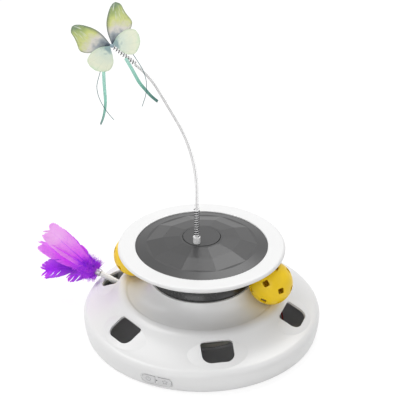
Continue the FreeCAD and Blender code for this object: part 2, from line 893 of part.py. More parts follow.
pads = [standing("tray_pad_%d" % i, d.pad_radius, tray_top, d.pad_height, a, case_screw_circle)
        for i, a in enumerate(screw_azimuths)]
posts = [standing("tray_post_%d" % i, d.post_radius, tray_top, retainer_foot - tray_top, a,
                  d.retainer_post_circle) for i, a in enumerate(azimuths(4, 45.0))]
board_posts = [cylinder("board_post_%d" % i, d.post_radius, d.board_height - tray_top,
                        d.board_post_x * sx, board_y + d.board_post_y * sy, tray_top)
               for i, (sx, sy) in enumerate(((-1, -1), (1, -1), (1, 1), (-1, 1)))]
button_slots = [box("button_slot_%d" % i, 3.0, d.board_thickness + 3.0, d.slot_height,
                    d.button_board_width / 2 * side, -button_board_y, tray_top)
                for i, side in enumerate((-1, 1))]
sunk = tray_top - d.overlap
cell_box = box("cell_box", box_width, box_length, room_top + d.box_wall - sunk, z=sunk)
door_bosses = [cylinder("door_boss_" + end, d.lobe_radius, d.door_boss_height, 0.0, lobe_y * side, sunk)
               for end, side in (("front", -1), ("rear", 1))]
tray_solid = fuse("tray_solid", tray_plate, cell_box,
                  *(door_bosses + pads + posts + board_posts + button_slots))
foot_recess = [standing("foot_recess_%d" % i, d.foot_radius + d.slip, 0.0, floor + d.foot_recess, a,
                        foot_circle) for i, a in enumerate(azimuths(d.foot_count, 0.0))]
head_top = floor + d.pad_height - 0.3
head_recess = [standing("head_recess_%d" % i, d.screw_head_radius + d.slip * 3, 0.0, head_top, a,
                        case_screw_circle) for i, a in enumerate(screw_azimuths)]
shank_holes = [standing("shank_hole_%d" % i, d.case_screw_radius + d.slip, 0.0, through, a,
                        case_screw_circle) for i, a in enumerate(screw_azimuths)]
post_pilots = [standing("post_pilot_%d" % i, d.small_screw_radius + d.screw_fit,
                        retainer_foot - d.small_screw_depth, through, a, d.retainer_post_circle)
               for i, a in enumerate(azimuths(4, 45.0))]
board_pilots = [cylinder("board_pilot_%d" % i, d.small_screw_radius + d.screw_fit, through,
                         d.board_post_x * sx, board_y + d.board_post_y * sy, tray_top + 0.6)
                for i, (sx, sy) in enumerate(((-1, -1), (1, -1), (1, 1), (-1, 1)))]
rebate = [box("door_rebate", door_width + d.door_gap * 2, door_length + d.door_gap * 2,
              room_foot, z=0.0),
          cylinder("door_rebate_front", d.lobe_radius - 0.5 + d.door_gap, room_foot, 0.0, -lobe_y),
          cylinder("door_rebate_rear", d.lobe_radius - 0.5 + d.door_gap, room_foot, 0.0, lobe_y)]
door_pilots = [cylinder("door_pilot_%d" % i, d.small_screw_radius + d.screw_fit, d.small_screw_depth + 3.0,
                        0.0, lobe_y * side, floor) for i, side in enumerate((-1, 1))]
base_tray = cut("base_tray", tray_solid, box("cell_room", room_width, room_length, room_top),
                box("rim_gap", d.panel_width + 8.0, 12.0, d.tray_rim_height * 2, 0.0, -tray_radius, tray_top),
                box("board_slot", d.button_board_width + d.slip * 2, d.board_thickness + d.slip * 2,
                    d.slot_height * 2, 0.0, -button_board_y, tray_top),
                place(cylinder("lead_hole", d.lead_radius + d.slip, d.box_wall + 2.0), -d.lead_hole_side,
                      box_length / 2 + 1.0, d.lead_hole_height, Rotation(Vector(1, 0, 0), 90)),
                cylinder("pinion_seat", d.motor_shaft + d.shaft_fit, 10.0, ring_pinion_x, 0.0,
                         floor + d.seat_floor),
                *(foot_recess + head_recess + shank_holes + post_pilots + board_pilots + rebate
                  + door_pilots))
foot = turned("foot", [(0.0, 0.0), (d.foot_radius - 0.6, 0.0), (d.foot_radius, 0.6),
                       (d.foot_radius, floor + d.foot_recess), (0.0, floor + d.foot_recess)])
doc.recompute()
rubber_feet = ring_of("rubber_feet", foot.Shape, d.foot_count, foot_circle)


def screw(name, radius, length, head_radius, head_height):
    """A pan-head screw that stands on its point, with a cross recess in its head."""
    head = turned(name, [(0.0, 0.0), (radius, 0.0), (radius, length), (head_radius, length),
                         (head_radius, length + head_height * 0.6),
                         (head_radius * 0.72, length + head_height), (0.0, length + head_height)])
    slot = head_radius * 1.1
    cross = [box(name + "_slot_" + way, w, b, head_height, z=length + head_height * 0.45)
             for way, w, b in (("x", slot, as_size(0.5)), ("y", as_size(0.5), slot))]
    thing = cut(name + "_whole", head, *cross)
    doc.recompute()
    return thing.Shape.copy()


upside_down = Rotation(Vector(1, 0, 0), 180)


def screw_spot(x, y, seat, length, points_up=True):
    """Where a screw whose head bears at the height of the seat goes."""
    if points_up:
        return Placement(Vector(float(x), float(y), float(seat) + float(length)), upside_down)
    return Placement(Vector(float(x), float(y), float(seat) - float(length)), Rotation())


case_screw = screw("case_screw", d.case_screw_radius, d.case_screw_length, d.screw_head_radius,
                   d.screw_head_height)
case_screws = copies("case_screws", case_screw, [
    screw_spot(polar(a, case_screw_circle).x, polar(a, case_screw_circle).y, head_top,
               d.case_screw_length) for a in screw_azimuths])

# Battery door and its screws
door_solid = fuse("door_solid", box("door_plate", door_width, door_length, d.door_thickness, z=floor),
                  cylinder("door_lobe_front", d.lobe_radius - 0.5, d.door_thickness, 0.0, -lobe_y, floor),
                  cylinder("door_lobe_rear", d.lobe_radius - 0.5, d.door_thickness, 0.0, lobe_y, floor))
small_head = d.small_head_radius
battery_door = cut("battery_door", door_solid, *[
    cylinder("door_screw_hole_%d" % i, d.small_screw_radius + d.slip, 10.0, 0.0, lobe_y * side)
    for i, side in enumerate((-1, 1))] + [
    cylinder("door_head_hole_%d" % i, small_head + d.slip, floor + d.small_head_height, 0.0, lobe_y * side)
    for i, side in enumerate((-1, 1))])
small_screw = screw("small_screw", d.small_screw_radius, d.small_screw_depth, small_head,
                    d.small_head_height)
door_screws = copies("door_screws", small_screw, [
    screw_spot(0.0, lobe_y * side, floor + d.small_head_height, d.small_screw_depth) for side in (-1, 1)])

# Battery cells and their contacts
cell = turned("cell", [(0.0, 0.0), (d.cell_radius - 0.5, 0.0), (d.cell_radius, 0.5),
                       (d.cell_radius, d.cell_length - 0.5), (d.cell_radius - 0.5, d.cell_length),
                       (d.cell_nub, d.cell_length), (d.cell_nub, d.cell_length + d.cell_nub_height),
                       (0.0, d.cell_length + d.cell_nub_height)])
pad_plate = as_size(d.contact_thickness)
contact_y = room_length / 2 - pad_plate
spring_length = contact_y * 2 - d.cell_length - d.cell_nub_height
coil = turned("contact_coil", [(0.0, 0.0), (d.cell_nub + 0.9, 0.0), (d.cell_nub, spring_length),
                               (0.0, spring_length)])
doc.recompute()
cell_z = room_foot + d.cell_clearance + d.cell_radius
cell_spots = []
coil_spots = []
for i in range(int(round(float(d.cell_count)))):
    x = float(d.cell_pitch) * (i - (float(d.cell_count) - 1) / 2)
    way = 1 if i % 2 else -1
    lie = Rotation(Vector(1, 0, 0), -90 * way)
    cell_foot = float(contact_y) - float(d.cell_length + d.cell_nub_height)
    cell_spots.append(Placement(Vector(x, way * cell_foot, float(cell_z)), lie))
    coil_spots.append(Placement(Vector(x, -way * float(contact_y), float(cell_z)), lie))
battery_cells = copies("battery_cells", cell.Shape, cell_spots)
contact_strips = [box("contact_strip_%d" % i, room_width - 1.0, pad_plate, d.cell_radius * 1.4, 0.0,
                      (room_length / 2 - pad_plate / 2) * side, cell_z - d.cell_radius * 0.7)
                  for i, side in enumerate((-1, 1))]
doc.recompute()
battery_contacts = feature("battery_contacts", Part.makeCompound(
    [s.Shape.copy() for s in contact_strips]
    + [moved for moved in copies("contact_coils", coil.Shape, coil_spots).Shape.Solids]))

# Neck collar
ledge_height = deck_underside + d.rim_ledge
collar_foot = neck_foot_height
ledge_top = lower_plate_height
collar_inner = collar_waist_radius - d.collar_wall
collar_top = deck_underside
neck_collar = cut("neck_collar", turned("collar_solid", [
    (neck_opening, collar_foot), (collar_foot_radius, collar_foot),
    (collar_foot_radius, collar_foot + d.collar_flange, -d.collar_low_round),
    (collar_waist_radius, collar_waist_height, -d.collar_flare_round),
    (collar_top_radius, collar_top - d.collar_flange), (collar_top_radius, collar_top),
    (collar_top_radius - d.collar_seat, collar_top),
    (collar_top_radius - d.collar_seat, collar_top - d.collar_flange,
     d.collar_flare_round + d.collar_wall),
    (collar_inner, collar_waist_height + d.collar_wall), (collar_inner, ledge_top),
    (collar_inner - d.ledge_width, ledge_top), (collar_inner - d.ledge_width, ledge_top - d.collar_wall),
    (collar_inner, ledge_top - d.collar_wall * 2), (neck_opening, collar_foot + d.collar_flange),
]), *([standing("collar_pilot_%d" % i, d.small_screw_radius + d.screw_fit, collar_foot - 1.0,
                d.small_screw_depth - d.wall + 1.5, a, collar_screw_circle)
       for i, a in enumerate(azimuths(4, 45.0))]
      + [standing("ledge_pilot_%d" % i, d.small_screw_radius + d.screw_fit, ledge_top - 4.0, 10.0, a,
                  ledge_screw_circle) for i, a in enumerate(azimuths(4, 45.0))]
      + [standing("collar_top_pilot_%d" % i, d.small_screw_radius + d.screw_fit,
                  ledge_height - d.small_screw_depth - 0.4, through, a, rim_screw_circle)
         for i, a in enumerate(azimuths(4, 0.0))]))

# White rim of the deck and its faceted grey cover
rim_step = cover_radius + d.cover_gap
disc_rim = cut("disc_rim", turned("rim_solid", [
    (rim_inner_radius, deck_underside), (rim_step + 2.0, deck_underside),
    (rim_step + 2.0, deck_height - d.cover_wall), (lip_radius - 3.0, deck_height - d.cover_wall),
    (lip_radius - 1.0, lip_height), (lip_radius, lip_height),
    (deck_radius - 0.8, edge_height - 0.6), (deck_radius, edge_height, d.deck_edge),
    (deck_radius - 2.6, deck_height), (rim_step + 0.8, deck_height, 0.8),
    (rim_step, deck_height - 0.8), (rim_step, ledge_height), (rim_inner_radius, ledge_height),
]), *[standing("rim_hole_%d" % i, d.small_screw_radius + d.slip, deck_underside - 1.0, through, a,
               rim_screw_circle) for i, a in enumerate(azimuths(4, 0.0))])


def polygon(name, radius, height):
    sides = doc.addObject("Part::RegularPolygon", name)
    sides.Polygon = int(round(float(d.cover_sides)))
    bind(sides, "Circumradius", radius)
    return place(sides, 0.0, 0.0, height, Rotation(Vector(0, 0, 1), -90))


def facets(name, inset):
    """The faceted crown between three rings of corners."""
    inset = as_size(inset)
    rings = [polygon("%s_ring_%d" % (name, i), radius - inset * 0.5, height - inset)
             for i, (radius, height) in enumerate(((facet_foot_radius, facet_foot_height),
                                                   (facet_mid_radius, facet_mid_height),
                                                   (facet_top_radius, facet_top_height)))]
    steps = []
    for i in (0, 1):
        step = doc.addObject("Part::Loft", "%s_step_%d" % (name, i))
        step.Sections = [rings[i], rings[i + 1]]
        step.Solid = True
        step.Ruled = True
        steps.append(step)
    return steps


cover_out = turned("cover_brim", [
    (0.0, ledge_height), (cover_radius, ledge_height), (cover_radius, cover_brim - 0.6, 0.6),
    (cover_radius - 0.6, cover_brim), (facet_foot_radius + 0.2, facet_foot_height),
    (0.0, facet_foot_height)])
cover_room = turned("cover_room", [
    (0.0, 0.0), (cover_radius - d.cover_wall, 0.0),
    (cover_radius - d.cover_wall, cover_brim - d.cover_wall),
    (facet_foot_radius, facet_foot_height - d.cover_wall), (0.0, facet_foot_height - d.cover_wall)])
rotor_hole = cylinder("rotor_hole", d.rotor_radius + d.rotor_gap, through, z=lower_plate_height)
cover_dome = cut("cover_dome", fuse("cover_solid", cover_out, *facets("cover_facets", 0.0)),
                 cover_room, rotor_hole, *facets("cover_facets_room", d.cover_wall))

# Small frame of the upper drive
upper_plate_z = lower_plate_height + d.plate_thickness + d.plate_spacing
gear_pitch = d.gear_module * (d.rotor_teeth + d.pinion_teeth) / 2
motor_top = lower_plate_height
pillar_spots = azimuths(4, 45.0)
bush_fit = d.bush_radius + d.screw_fit
clip_reach = d.motor_width / 2 + d.slip + d.clip_width / 2
motor_clips = [box("motor_clip_%d" % i, d.clip_width, d.motor_depth * 0.8, d.clip_height, clip_reach * side,
                   gear_pitch, lower_plate_height - d.clip_height) for i, side in enumerate((-1, 1))]
gear_plate_lower = cut("gear_plate_lower", fuse("lower_solid", cylinder(
    "lower_disc", collar_inner - d.tray_gap, d.plate_thickness, z=lower_plate_height), *motor_clips),
                       cylinder("lower_bore", bush_fit, through),
                       cylinder("lower_motor_hole", d.motor_boss + d.slip, through, 0.0, gear_pitch),
                       *([standing("lower_pillar_hole_%d" % i, d.small_screw_radius + d.slip, 0.0, through, a,
                                   d.pillar_circle) for i, a in enumerate(pillar_spots)]
                         + [standing("lower_rim_hole_%d" % i, d.small_screw_radius + d.slip, 0.0, through, a,
                                     ledge_screw_circle) for i, a in enumerate(pillar_spots)]))
gear_plate_upper = cut("gear_plate_upper", cylinder("upper_disc", d.pillar_circle + d.pillar_radius + 1.5,
                                                    d.plate_thickness, z=upper_plate_z),
                       cylinder("upper_bore", bush_fit, through),
                       *[standing("upper_pillar_hole_%d" % i, d.small_screw_radius + d.slip, 0.0, through, a,
                                  d.pillar_circle) for i, a in enumerate(pillar_spots)])
pillar = cut("pillar", cylinder("pillar_bar", d.pillar_radius, d.plate_spacing),
             cylinder("pillar_bore", d.small_screw_radius + d.screw_fit, through, z=-1.0))
doc.recompute()
plate_pillars = ring_of("plate_pillars", pillar.Shape, 4, d.pillar_circle,
                        lower_plate_height + d.plate_thickness, 45.0)
bush = turned("bush", [(d.shaft_radius + d.shaft_fit, 0.0), (d.bush_radius, 0.0),
                       (d.bush_radius, d.plate_thickness), (d.bush_radius + 1.5, d.plate_thickness),
                       (d.bush_radius + 1.5, d.plate_thickness + d.bush_flange),
                       (d.shaft_radius + d.shaft_fit, d.plate_thickness + d.bush_flange)])
doc.recompute()
rotor_bushes = copies("rotor_bushes", bush.Shape, [
    Placement(Vector(0, 0, float(lower_plate_height)), Rotation()),
    Placement(Vector(0, 0, float(upper_plate_z + d.plate_thickness)), upside_down)])

# Rotor: shaft, wheel and disc
rotor_shaft = cylinder("rotor_shaft", d.shaft_radius, rotor_height - 1.2 - lower_plate_height + 1.5,
                       z=lower_plate_height - 1.5)
gear_foot = lower_plate_height + d.plate_thickness + d.bush_flange + d.gear_lift
wheel = gear_solid(int(float(d.rotor_teeth)), float(d.gear_module), float(d.gear_width),
                   float(d.gear_backlash), float(d.stub_addendum), 90.0)
rotor_wheel = feature("rotor_wheel", wheel, Placement(Vector(0, 0, float(gear_foot)), Rotation()))
rotor_hub = cylinder("rotor_hub", d.shaft_radius + 2.6, d.gear_width + d.gear_lift * 2,
                     z=gear_foot - d.gear_lift + 0.3)
rotor_gear = cut("rotor_gear", fuse("rotor_gear_solid", rotor_wheel, rotor_hub),
                 cylinder("rotor_gear_bore", d.shaft_radius + d.shaft_fit, through, z=lower_plate_height))
disc_foot = rotor_height - d.rotor_thickness
rotor_disc = cut("rotor_disc", fuse("rotor_disc_solid", turned("rotor_plate", [
    (0.0, disc_foot), (d.rotor_radius - 0.5, disc_foot), (d.rotor_radius, disc_foot + 0.5),
    (d.rotor_radius, rotor_height - 0.6, 0.6), (d.rotor_radius - 0.6, rotor_height), (0.0, rotor_height)]),
    cylinder("rotor_stem", d.shaft_radius + 3.4, disc_foot - stem_foot + 0.5, z=stem_foot),
    cylinder("plug_boss", d.plug_spigot + 2.0, d.plug_depth, 0.0, -d.plug_offset,
             rotor_height - d.plug_depth - 0.6)),
    cylinder("rotor_disc_bore", d.shaft_radius + d.shaft_fit, rotor_height - stem_foot, z=stem_foot - 1.0),
    cylinder("plug_bore", d.plug_spigot + d.slip, d.plug_depth * 2, 0.0, -d.plug_offset,
             rotor_height - d.plug_depth - 0.2))

# Motors: a geared can 12 by 10 mm, with its shaft apart
def motor(name, up):
    """A geared motor that stands on its can, or hangs from it, with its shaft hole at the gear end."""
    case_length = d.motor_length * 0.38
    can = common(name + "_can", cylinder(name + "_round", d.motor_width / 2, d.motor_length - case_length),
                 box(name + "_flats", d.motor_width, d.motor_depth, d.motor_length))
    case = box(name + "_case", d.motor_width, d.motor_depth, case_length, z=d.motor_length - case_length)
    boss = cylinder(name + "_boss", d.motor_boss, d.motor_boss_height, z=d.motor_length)
    whole = cut(name + "_whole", fuse(name + "_solid", can, case, boss),
                cylinder(name + "_bore", d.motor_shaft + d.shaft_fit, d.motor_length,
                         z=d.motor_length - d.shaft_grip))
    doc.recompute()
    shape = whole.Shape.copy()
    if not up:
        shape.rotate(Vector(0, 0, 0), Vector(1, 0, 0), 180)
    return shape


butterfly_motor = feature("butterfly_motor", motor("lure_motor", True),
                          Placement(Vector(0, float(gear_pitch), float(motor_top - d.motor_length)),
                                    Rotation()))
lure_shaft_foot = motor_top - d.shaft_grip + d.slip
butterfly_motor_shaft = cylinder("butterfly_motor_shaft", d.motor_shaft,
                                 gear_foot + d.gear_width + d.pinion_extra - lure_shaft_foot,
                                 0.0, gear_pitch, lure_shaft_foot)
pinion = gear_solid(int(float(d.pinion_teeth)), float(d.gear_module), float(d.gear_width + d.pinion_extra),
                    float(d.gear_backlash), 1.0, 270.0 + 180.0 / float(d.pinion_teeth))
pinion_bar = feature("rotor_pinion_bar", pinion, Placement(Vector(0, float(gear_pitch), float(
    gear_foot - d.pinion_extra / 2)), Rotation()))
rotor_pinion = cut("rotor_pinion", pinion_bar,
                   cylinder("rotor_pinion_bore", d.motor_shaft + d.shaft_fit, d.gear_width * 4, 0.0,
                            gear_pitch, gear_foot - d.gear_width))

# Feather drive: an inner-toothed ring with an arm, its pinion and motor
ring_pitch = d.ring_module * d.ring_teeth / 2
tooth = float(d.ring_module)
teeth_room = gear_wire(int(float(d.ring_teeth)), tooth, float(ring_pitch) + 1.25 * tooth,
                       float(ring_pitch) - float(d.ring_addendum) * tooth, -float(d.gear_backlash) / 2, 0.0)
ring_body = Part.makeCylinder(float(d.ring_outside), float(d.ring_thickness)).cut(
    Part.Face(teeth_room).extrude(Vector(0, 0, float(d.ring_thickness))))
ring_part = feature("carrier_ring", ring_body, Placement(Vector(0, 0, float(d.ring_height)), Rotation()))
ring_top = d.ring_height + d.ring_thickness
arm_reach = wand_root_radius + d.socket_foot / 2 + 1.0
arm_root = d.ring_outside - 3.0
feather_carrier = cut("feather_carrier", fuse("carrier_solid", ring_part, box(
    "carrier_arm", arm_reach - arm_root, d.arm_width, ring_top - d.arm_height,
    -(arm_reach + arm_root) / 2, 0.0, d.arm_height)),
    cylinder("peg_hole", d.peg_radius + d.slip, 20.0, -wand_root_radius, 0.0, d.arm_height - 1.0))
ring_pinion_solid = gear_solid(int(float(d.ring_pinion_teeth)), tooth, float(d.gear_width),
                               float(d.gear_backlash), 1.0, 0.0)
ring_pinion_bar = feature("carrier_pinion_bar", ring_pinion_solid,
                          Placement(Vector(float(ring_pinion_x), 0, float(d.ring_height)), Rotation()))
carrier_pinion = cut("carrier_pinion", ring_pinion_bar, cylinder(
    "carrier_pinion_bore", d.motor_shaft + d.shaft_fit, through, ring_pinion_x))
retainer_top = d.retainer_height + d.retainer_thickness
retainer_disc = cut("retainer_disc", cylinder("retainer_wide", d.retainer_outer, d.retainer_thickness,
                                              z=d.retainer_height),
                    cylinder("retainer_slim", d.retainer_inner, through))
clip_side = d.motor_depth / 2 + d.slip + d.clip_width / 2
retainer_clips = [box("retainer_clip_%d" % i, d.motor_width * 0.7, d.clip_width, d.clip_height,
                      ring_pinion_x, clip_side * side, retainer_top) for i, side in enumerate((-1, 1))]
carrier_retainer = cut("carrier_retainer", fuse("retainer_solid", retainer_disc, *retainer_clips, box(
    "retainer_pad", d.motor_width + 6.0, d.motor_depth + 8.0, d.retainer_thickness,
    ring_pinion_x, 0.0, d.retainer_height)),
    cylinder("retainer_motor_hole", d.motor_boss + d.slip, through, ring_pinion_x),
    *[standing("retainer_hole_%d" % i, d.small_screw_radius + d.slip, 0.0, through, a, d.retainer_post_circle)
      for i, a in enumerate(azimuths(4, 45.0))])
feather_motor = feature("feather_motor", motor("drive_motor", False), Placement(
    Vector(float(ring_pinion_x), 0, float(retainer_top + d.motor_length)), Rotation()))
feather_motor_shaft = cylinder("feather_motor_shaft", d.motor_shaft,
                               retainer_top + d.shaft_grip - d.slip * 2 - floor - d.seat_floor,
                               ring_pinion_x, 0.0, floor + d.seat_floor + d.slip)

# Wand, its socket and the feathers
rise = float(d.wand_rise)
wand_way = Vector(-math.cos(math.radians(rise)), 0, math.sin(math.radians(rise)))
wand_turn = Rotation(Vector(0, 1, 0), rise - 90)


def on_wand(shape_object, distance):
    """Lay an object that was made along Z on the wand's line, at a distance from its root."""
    root = Vector(-float(wand_root_radius), 0, float(wand_root_height))
    shape_object.Placement = Placement(root + wand_way * float(distance), wand_turn)
    return shape_object


socket_tube = on_wand(cylinder("socket_tube", d.socket_radius, d.socket_length), -2.0)
socket_column = box("socket_column", d.socket_foot, d.socket_foot - 2.0, wand_root_height - ring_top,
                    -wand_root_radius, 0.0, ring_top)
socket_peg = cylinder("socket_peg", d.peg_radius, d.socket_foot / 2, -wand_root_radius, 0.0, d.arm_height)
socket_bore = on_wand(cylinder("socket_bore", d.wand_radius + d.slip, 40.0), 0.0)
wand_socket = cut("wand_socket", fuse("socket_solid", socket_tube, socket_column, socket_peg), socket_bore)
wand_tube = on_wand(cut("wand_tube", cylinder("wand_bar", d.wand_radius, d.wand_length),
                        cylinder("wand_hole", d.wand_bore, 200.0, z=-1.0)), d.slip * 3)
ferrule_grip = as_size(4.0)
feather_ferrule = on_wand(turned("feather_ferrule", [
    (d.wand_radius + d.shaft_fit, 0.0), (d.ferrule_radius - 0.5, 0.0), (d.ferrule_radius, 0.6),
    (d.ferrule_radius, d.ferrule_length * 0.6), (d.ferrule_radius - 0.6, d.ferrule_length),
    (d.plume_root + d.slip, d.ferrule_length), (d.plume_root + d.slip, ferrule_grip),
    (d.wand_radius + d.shaft_fit, ferrule_grip)]), d.wand_length - ferrule_grip + d.slip * 2)


def leaf(name, length, width, elevation, splay, roll):
    """A feather as a thin leaf of two arcs, from the ferrule at an elevation and to one side."""
    half = width / 2.0
    round_ = (length * length / 4 + half * half) / (2 * half)
    body = plate(name, [(0.0, 0.0, round_), (as_size(length), 0.0, round_)], d.plume_thickness)
    body.Placement = Placement(Vector(0, 0, -float(d.plume_thickness) / 2), Rotation())
    doc.recompute()
    solid = body.Shape.copy()
    solid.rotate(Vector(0, 0, 0), Vector(1, 0, 0), 90 + roll)
    solid.rotate(Vector(0, 0, 0), Vector(0, 1, 0), -elevation)
    solid.rotate(Vector(0, 0, 0), Vector(0, 0, 1), 180 + splay)
    solid.translate(plume_foot)
    return feature(name + "_laid", solid)


plume_start = float(d.wand_length) + 0.6 + 0.3
plume_foot = Vector(-float(wand_root_radius), 0, float(wand_root_height)) + wand_way * (
    plume_start + float(d.ferrule_length) - 5.5)
plume_stem = on_wand(cylinder("plume_stem", d.plume_root, d.ferrule_length - ferrule_grip + 1.0), plume_start)
# length, width, elevation, sideways splay and roll of each feather
PLUMES = [
    (62.0, 26.0, 52.0, 4.0, 15.0), (80.0, 24.0, 39.0, -5.0, -20.0), (77.0, 22.0, 25.0, 3.0, 25.0),
    (74.0, 22.0, 9.0, -3.0, -10.0), (71.0, 22.0, -6.0, 5.0, 20.0), (68.0, 26.0, -21.0, -4.0, -15.0),
    (38.0, 22.0, -42.0, 2.0, 10.0),
]
feather_plumes = fuse("feather_plumes", plume_stem, *[leaf("plume_%d" % i, *row)
                                                     for i, row in enumerate(PLUMES)])

# Plug, springs, wire and sleeve of the lure
plug_top = rotor_height + d.plug_height
wire_plug = turned("wire_plug", [
    (0.0, rotor_height - d.plug_depth), (d.plug_spigot, rotor_height - d.plug_depth),
    (d.plug_spigot, rotor_height), (d.plug_radius, rotor_height),
    (d.plug_radius, plug_top - d.plug_crown), (1.2, plug_top), (0.0, plug_top)])
place(wire_plug, 0.0, -d.plug_offset)
wire_foot = Vector(0, -float(d.plug_offset), float(plug_top) + float(d.plug_gap))
lean_way = polar(float(d.lean_heading), 1.0)


def wire_line():
    """The wire's centre line as lines and arcs in its upright plane, from foot to bead."""
    reach = 0.0
    height = 0.0
    lean = 0.0
    edges = []

    def spot(along, up):
        return wire_foot + lean_way * along + Vector(0, 0, up)

    for straight, bend, turn in ((d.wire_upright, d.wire_first_bend, d.wire_first_turn),
                                 (d.wire_straight, d.wire_second_bend, d.wire_second_turn),
                                 (d.wire_tip, None, None)):
        run = float(straight)
        after = (reach + run * math.sin(lean), height + run * math.cos(lean))
        edges.append(Part.makeLine(spot(reach, height), spot(*after)))
        reach, height = after
        if bend is None:
            break
        radius = float(bend)
        centre = (reach + radius * math.cos(lean), height - radius * math.sin(lean))
        stops = []
        for share in (0.0, 0.5, 1.0):
            angle = lean + math.radians(float(turn)) * share
            stops.append((centre[0] - radius * math.cos(angle), centre[1] + radius * math.sin(angle)))
        edges.append(Part.Arc(spot(*stops[0]), spot(*stops[1]), spot(*stops[2])).toShape())
        reach, height = stops[2]
        lean += math.radians(float(turn))
    return Part.Wire(edges), spot(reach, height), lean_way * math.sin(lean) + Vector(0, 0, math.cos(lean))


wire_path, wire_end, tip_way = wire_line()
bead_centre = wire_end + tip_way * (float(d.bead_radius) - 0.6)
lure_wire = feature("lure_wire", swept(wire_path, ring_section(wire_path, float(d.lure_wire) / 2)))
tip_foot = wire_end - tip_way * (float(d.tip_spring_pitch * d.tip_spring_turns) + float(d.tip_spring_wire))
base_spring_top = float(d.base_spring_pitch * d.base_spring_turns + d.base_spring_wire)


def trimmed(edges, start, stop):
    """The stretch of a chain of edges between two lengths from its start."""
    kept = []
    done = 0.0
    for edge in edges:
        low = max(start - done, 0.0)
        high = min(stop - done, edge.Length)
        if high - low > 1e-6:
            first = edge.getParameterByLength(low)
            last = edge.getParameterByLength(high)
            kept.append(edge.Curve.toShape(first, last))
        done += edge.Length
    return Part.Wire(kept)


sleeve_stop = wire_path.Length - (tip_foot - wire_end).Length - 0.6
sleeve_path = trimmed(wire_path.OrderedEdges, base_spring_top + 0.4, sleeve_stop)
sleeve_tube, sleeve_bore = [
    feature(name, swept(sleeve_path, ring_section(sleeve_path, float(across) / 2)))
    for name, across in (("sleeve_tube", d.sleeve_outside), ("sleeve_bore", d.sleeve_inside))]
flare_foot = wire_foot + Vector(0, 0, base_spring_top + 0.4)
flare = turned("sleeve_flare", [(d.sleeve_inside / 2, 0.0), (d.sleeve_flare / 2, 0.0),
                                (d.sleeve_flare / 2, 1.6), (d.sleeve_outside / 2, 3.2),
                                (d.sleeve_inside / 2, 3.2)])
flare.Placement = Placement(flare_foot, Rotation())
wire_sleeve = cut("wire_sleeve", fuse("sleeve_solid", sleeve_tube, flare), sleeve_bore)
base_spring = feature("base_spring",
                      spring("base_spring", float(d.base_spring_radius), float(d.base_spring_wire),
                             float(d.base_spring_pitch), float(d.base_spring_turns)),
                      Placement(wire_foot + Vector(0, 0, float(d.base_spring_wire) / 2), Rotation()))
tip_spring = feature("tip_spring",
                     spring("tip_spring", float(d.tip_spring_radius), float(d.tip_spring_wire),
                            float(d.tip_spring_pitch), float(d.tip_spring_turns)),
                     Placement(tip_foot, Rotation(Vector(0, 0, 1), tip_way)))
bead_ball = doc.addObject("Part::Sphere", "bead_ball")
bind(bead_ball, "Radius", d.bead_radius)
bead_ball.Placement = Placement(bead_centre, Rotation())
butterfly_bead = cut("butterfly_bead", bead_ball, lure_wire)

# Butterfly: four thin wings whose plane faces the heading below, tilted back
face_turn = Rotation(Vector(0, 0, 1), float(d.butterfly_heading)).multiply(
    Rotation(Vector(1, 0, 0), 90 - float(d.butterfly_tilt)))
FOREWING = [(0.7, 1.9), (2.9, 13.3), (7.2, 22.5), (14.5, 30.4), (21.0, 34.4), (25.2, 34.6), (28.6, 30.5),
            (28.5, 24.0), (29.0, 18.0), (30.0, 13.5), (29.5, 10.5), (25.8, 7.4), (19.8, 5.5), (11.8, 5.0),
            (3.0, 3.0)]
HINDWING = [(1.8, 0.2), (15.4, 4.6), (23.0, 4.0), (28.4, 0.4), (29.2, -5.0), (26.7, -11.5), (21.6, -16.0),
            (15.2, -18.4), (8.6, -15.2), (5.0, -9.0), (3.0, -3.0)]


def wing(name, outline, side, swing, depth):
    """A wing from its outline (out to the side, towards the head), on the right (1) or left (-1)."""
    turn = Rotation(Vector(0, 0, 1), swing)
    curve = Part.BSplineCurve()
    points = [turn.multVec(Vector(x * side, y, 0)) for x, y in outline]
    curve.interpolate(points)
    edge = Part.Wire([curve.toShape(), Part.makeLine(points[-1], points[0])])
    flat = Part.Face(edge).extrude(Vector(0, 0, float(d.wing_thickness)))
    lift = Rotation(Vector(0, 1, 0), -side * float(d.wing_lift))
    spin = Rotation(Vector(0, 0, 1), float(d.wing_heading))
    blade = feature(name + "_blade", flat, Placement(
        bead_centre, face_turn.multiply(spin)).multiply(Placement(Vector(0, 0, depth), lift)))
    return cut(name, blade, wing_room)


def wing_clearance():
    """The bead and the spring below it, a little larger, which the wings go round."""
    gap = float(d.slip)
    ball = Part.makeSphere(float(d.bead_radius) + gap, bead_centre)
    reach = float(d.tip_spring_radius + d.tip_spring_wire / 2) + 2 * gap
    rod = Part.makeCylinder(reach, (bead_centre - tip_foot).Length + 2.0, tip_foot - tip_way * 2.0, tip_way)
    return feature("wing_clearance", ball.fuse(rod))


wing_room = wing_clearance()
wing_step = float(d.wing_thickness) + 0.15
forewing_left = wing("forewing_left", FOREWING, -1, 0.0, 0.6)
forewing_right = wing("forewing_right", FOREWING, 1, 0.0, 0.6)
hindwing_left = wing("hindwing_left", HINDWING, -1, 4.0, 0.6 + wing_step)
hindwing_right = wing("hindwing_right", HINDWING, 1, 4.0, 0.6 + wing_step)

# Ribbons and threads under the wings: each point is how far it lies towards the lean, how far in
# front of the bead and how high above it.
front_way = polar(float(d.lean_heading) + 90.0, 1.0)


def from_bead(points):
    return [bead_centre + lean_way * a + front_way * b + Vector(0, 0, c) for a, b, c in points]


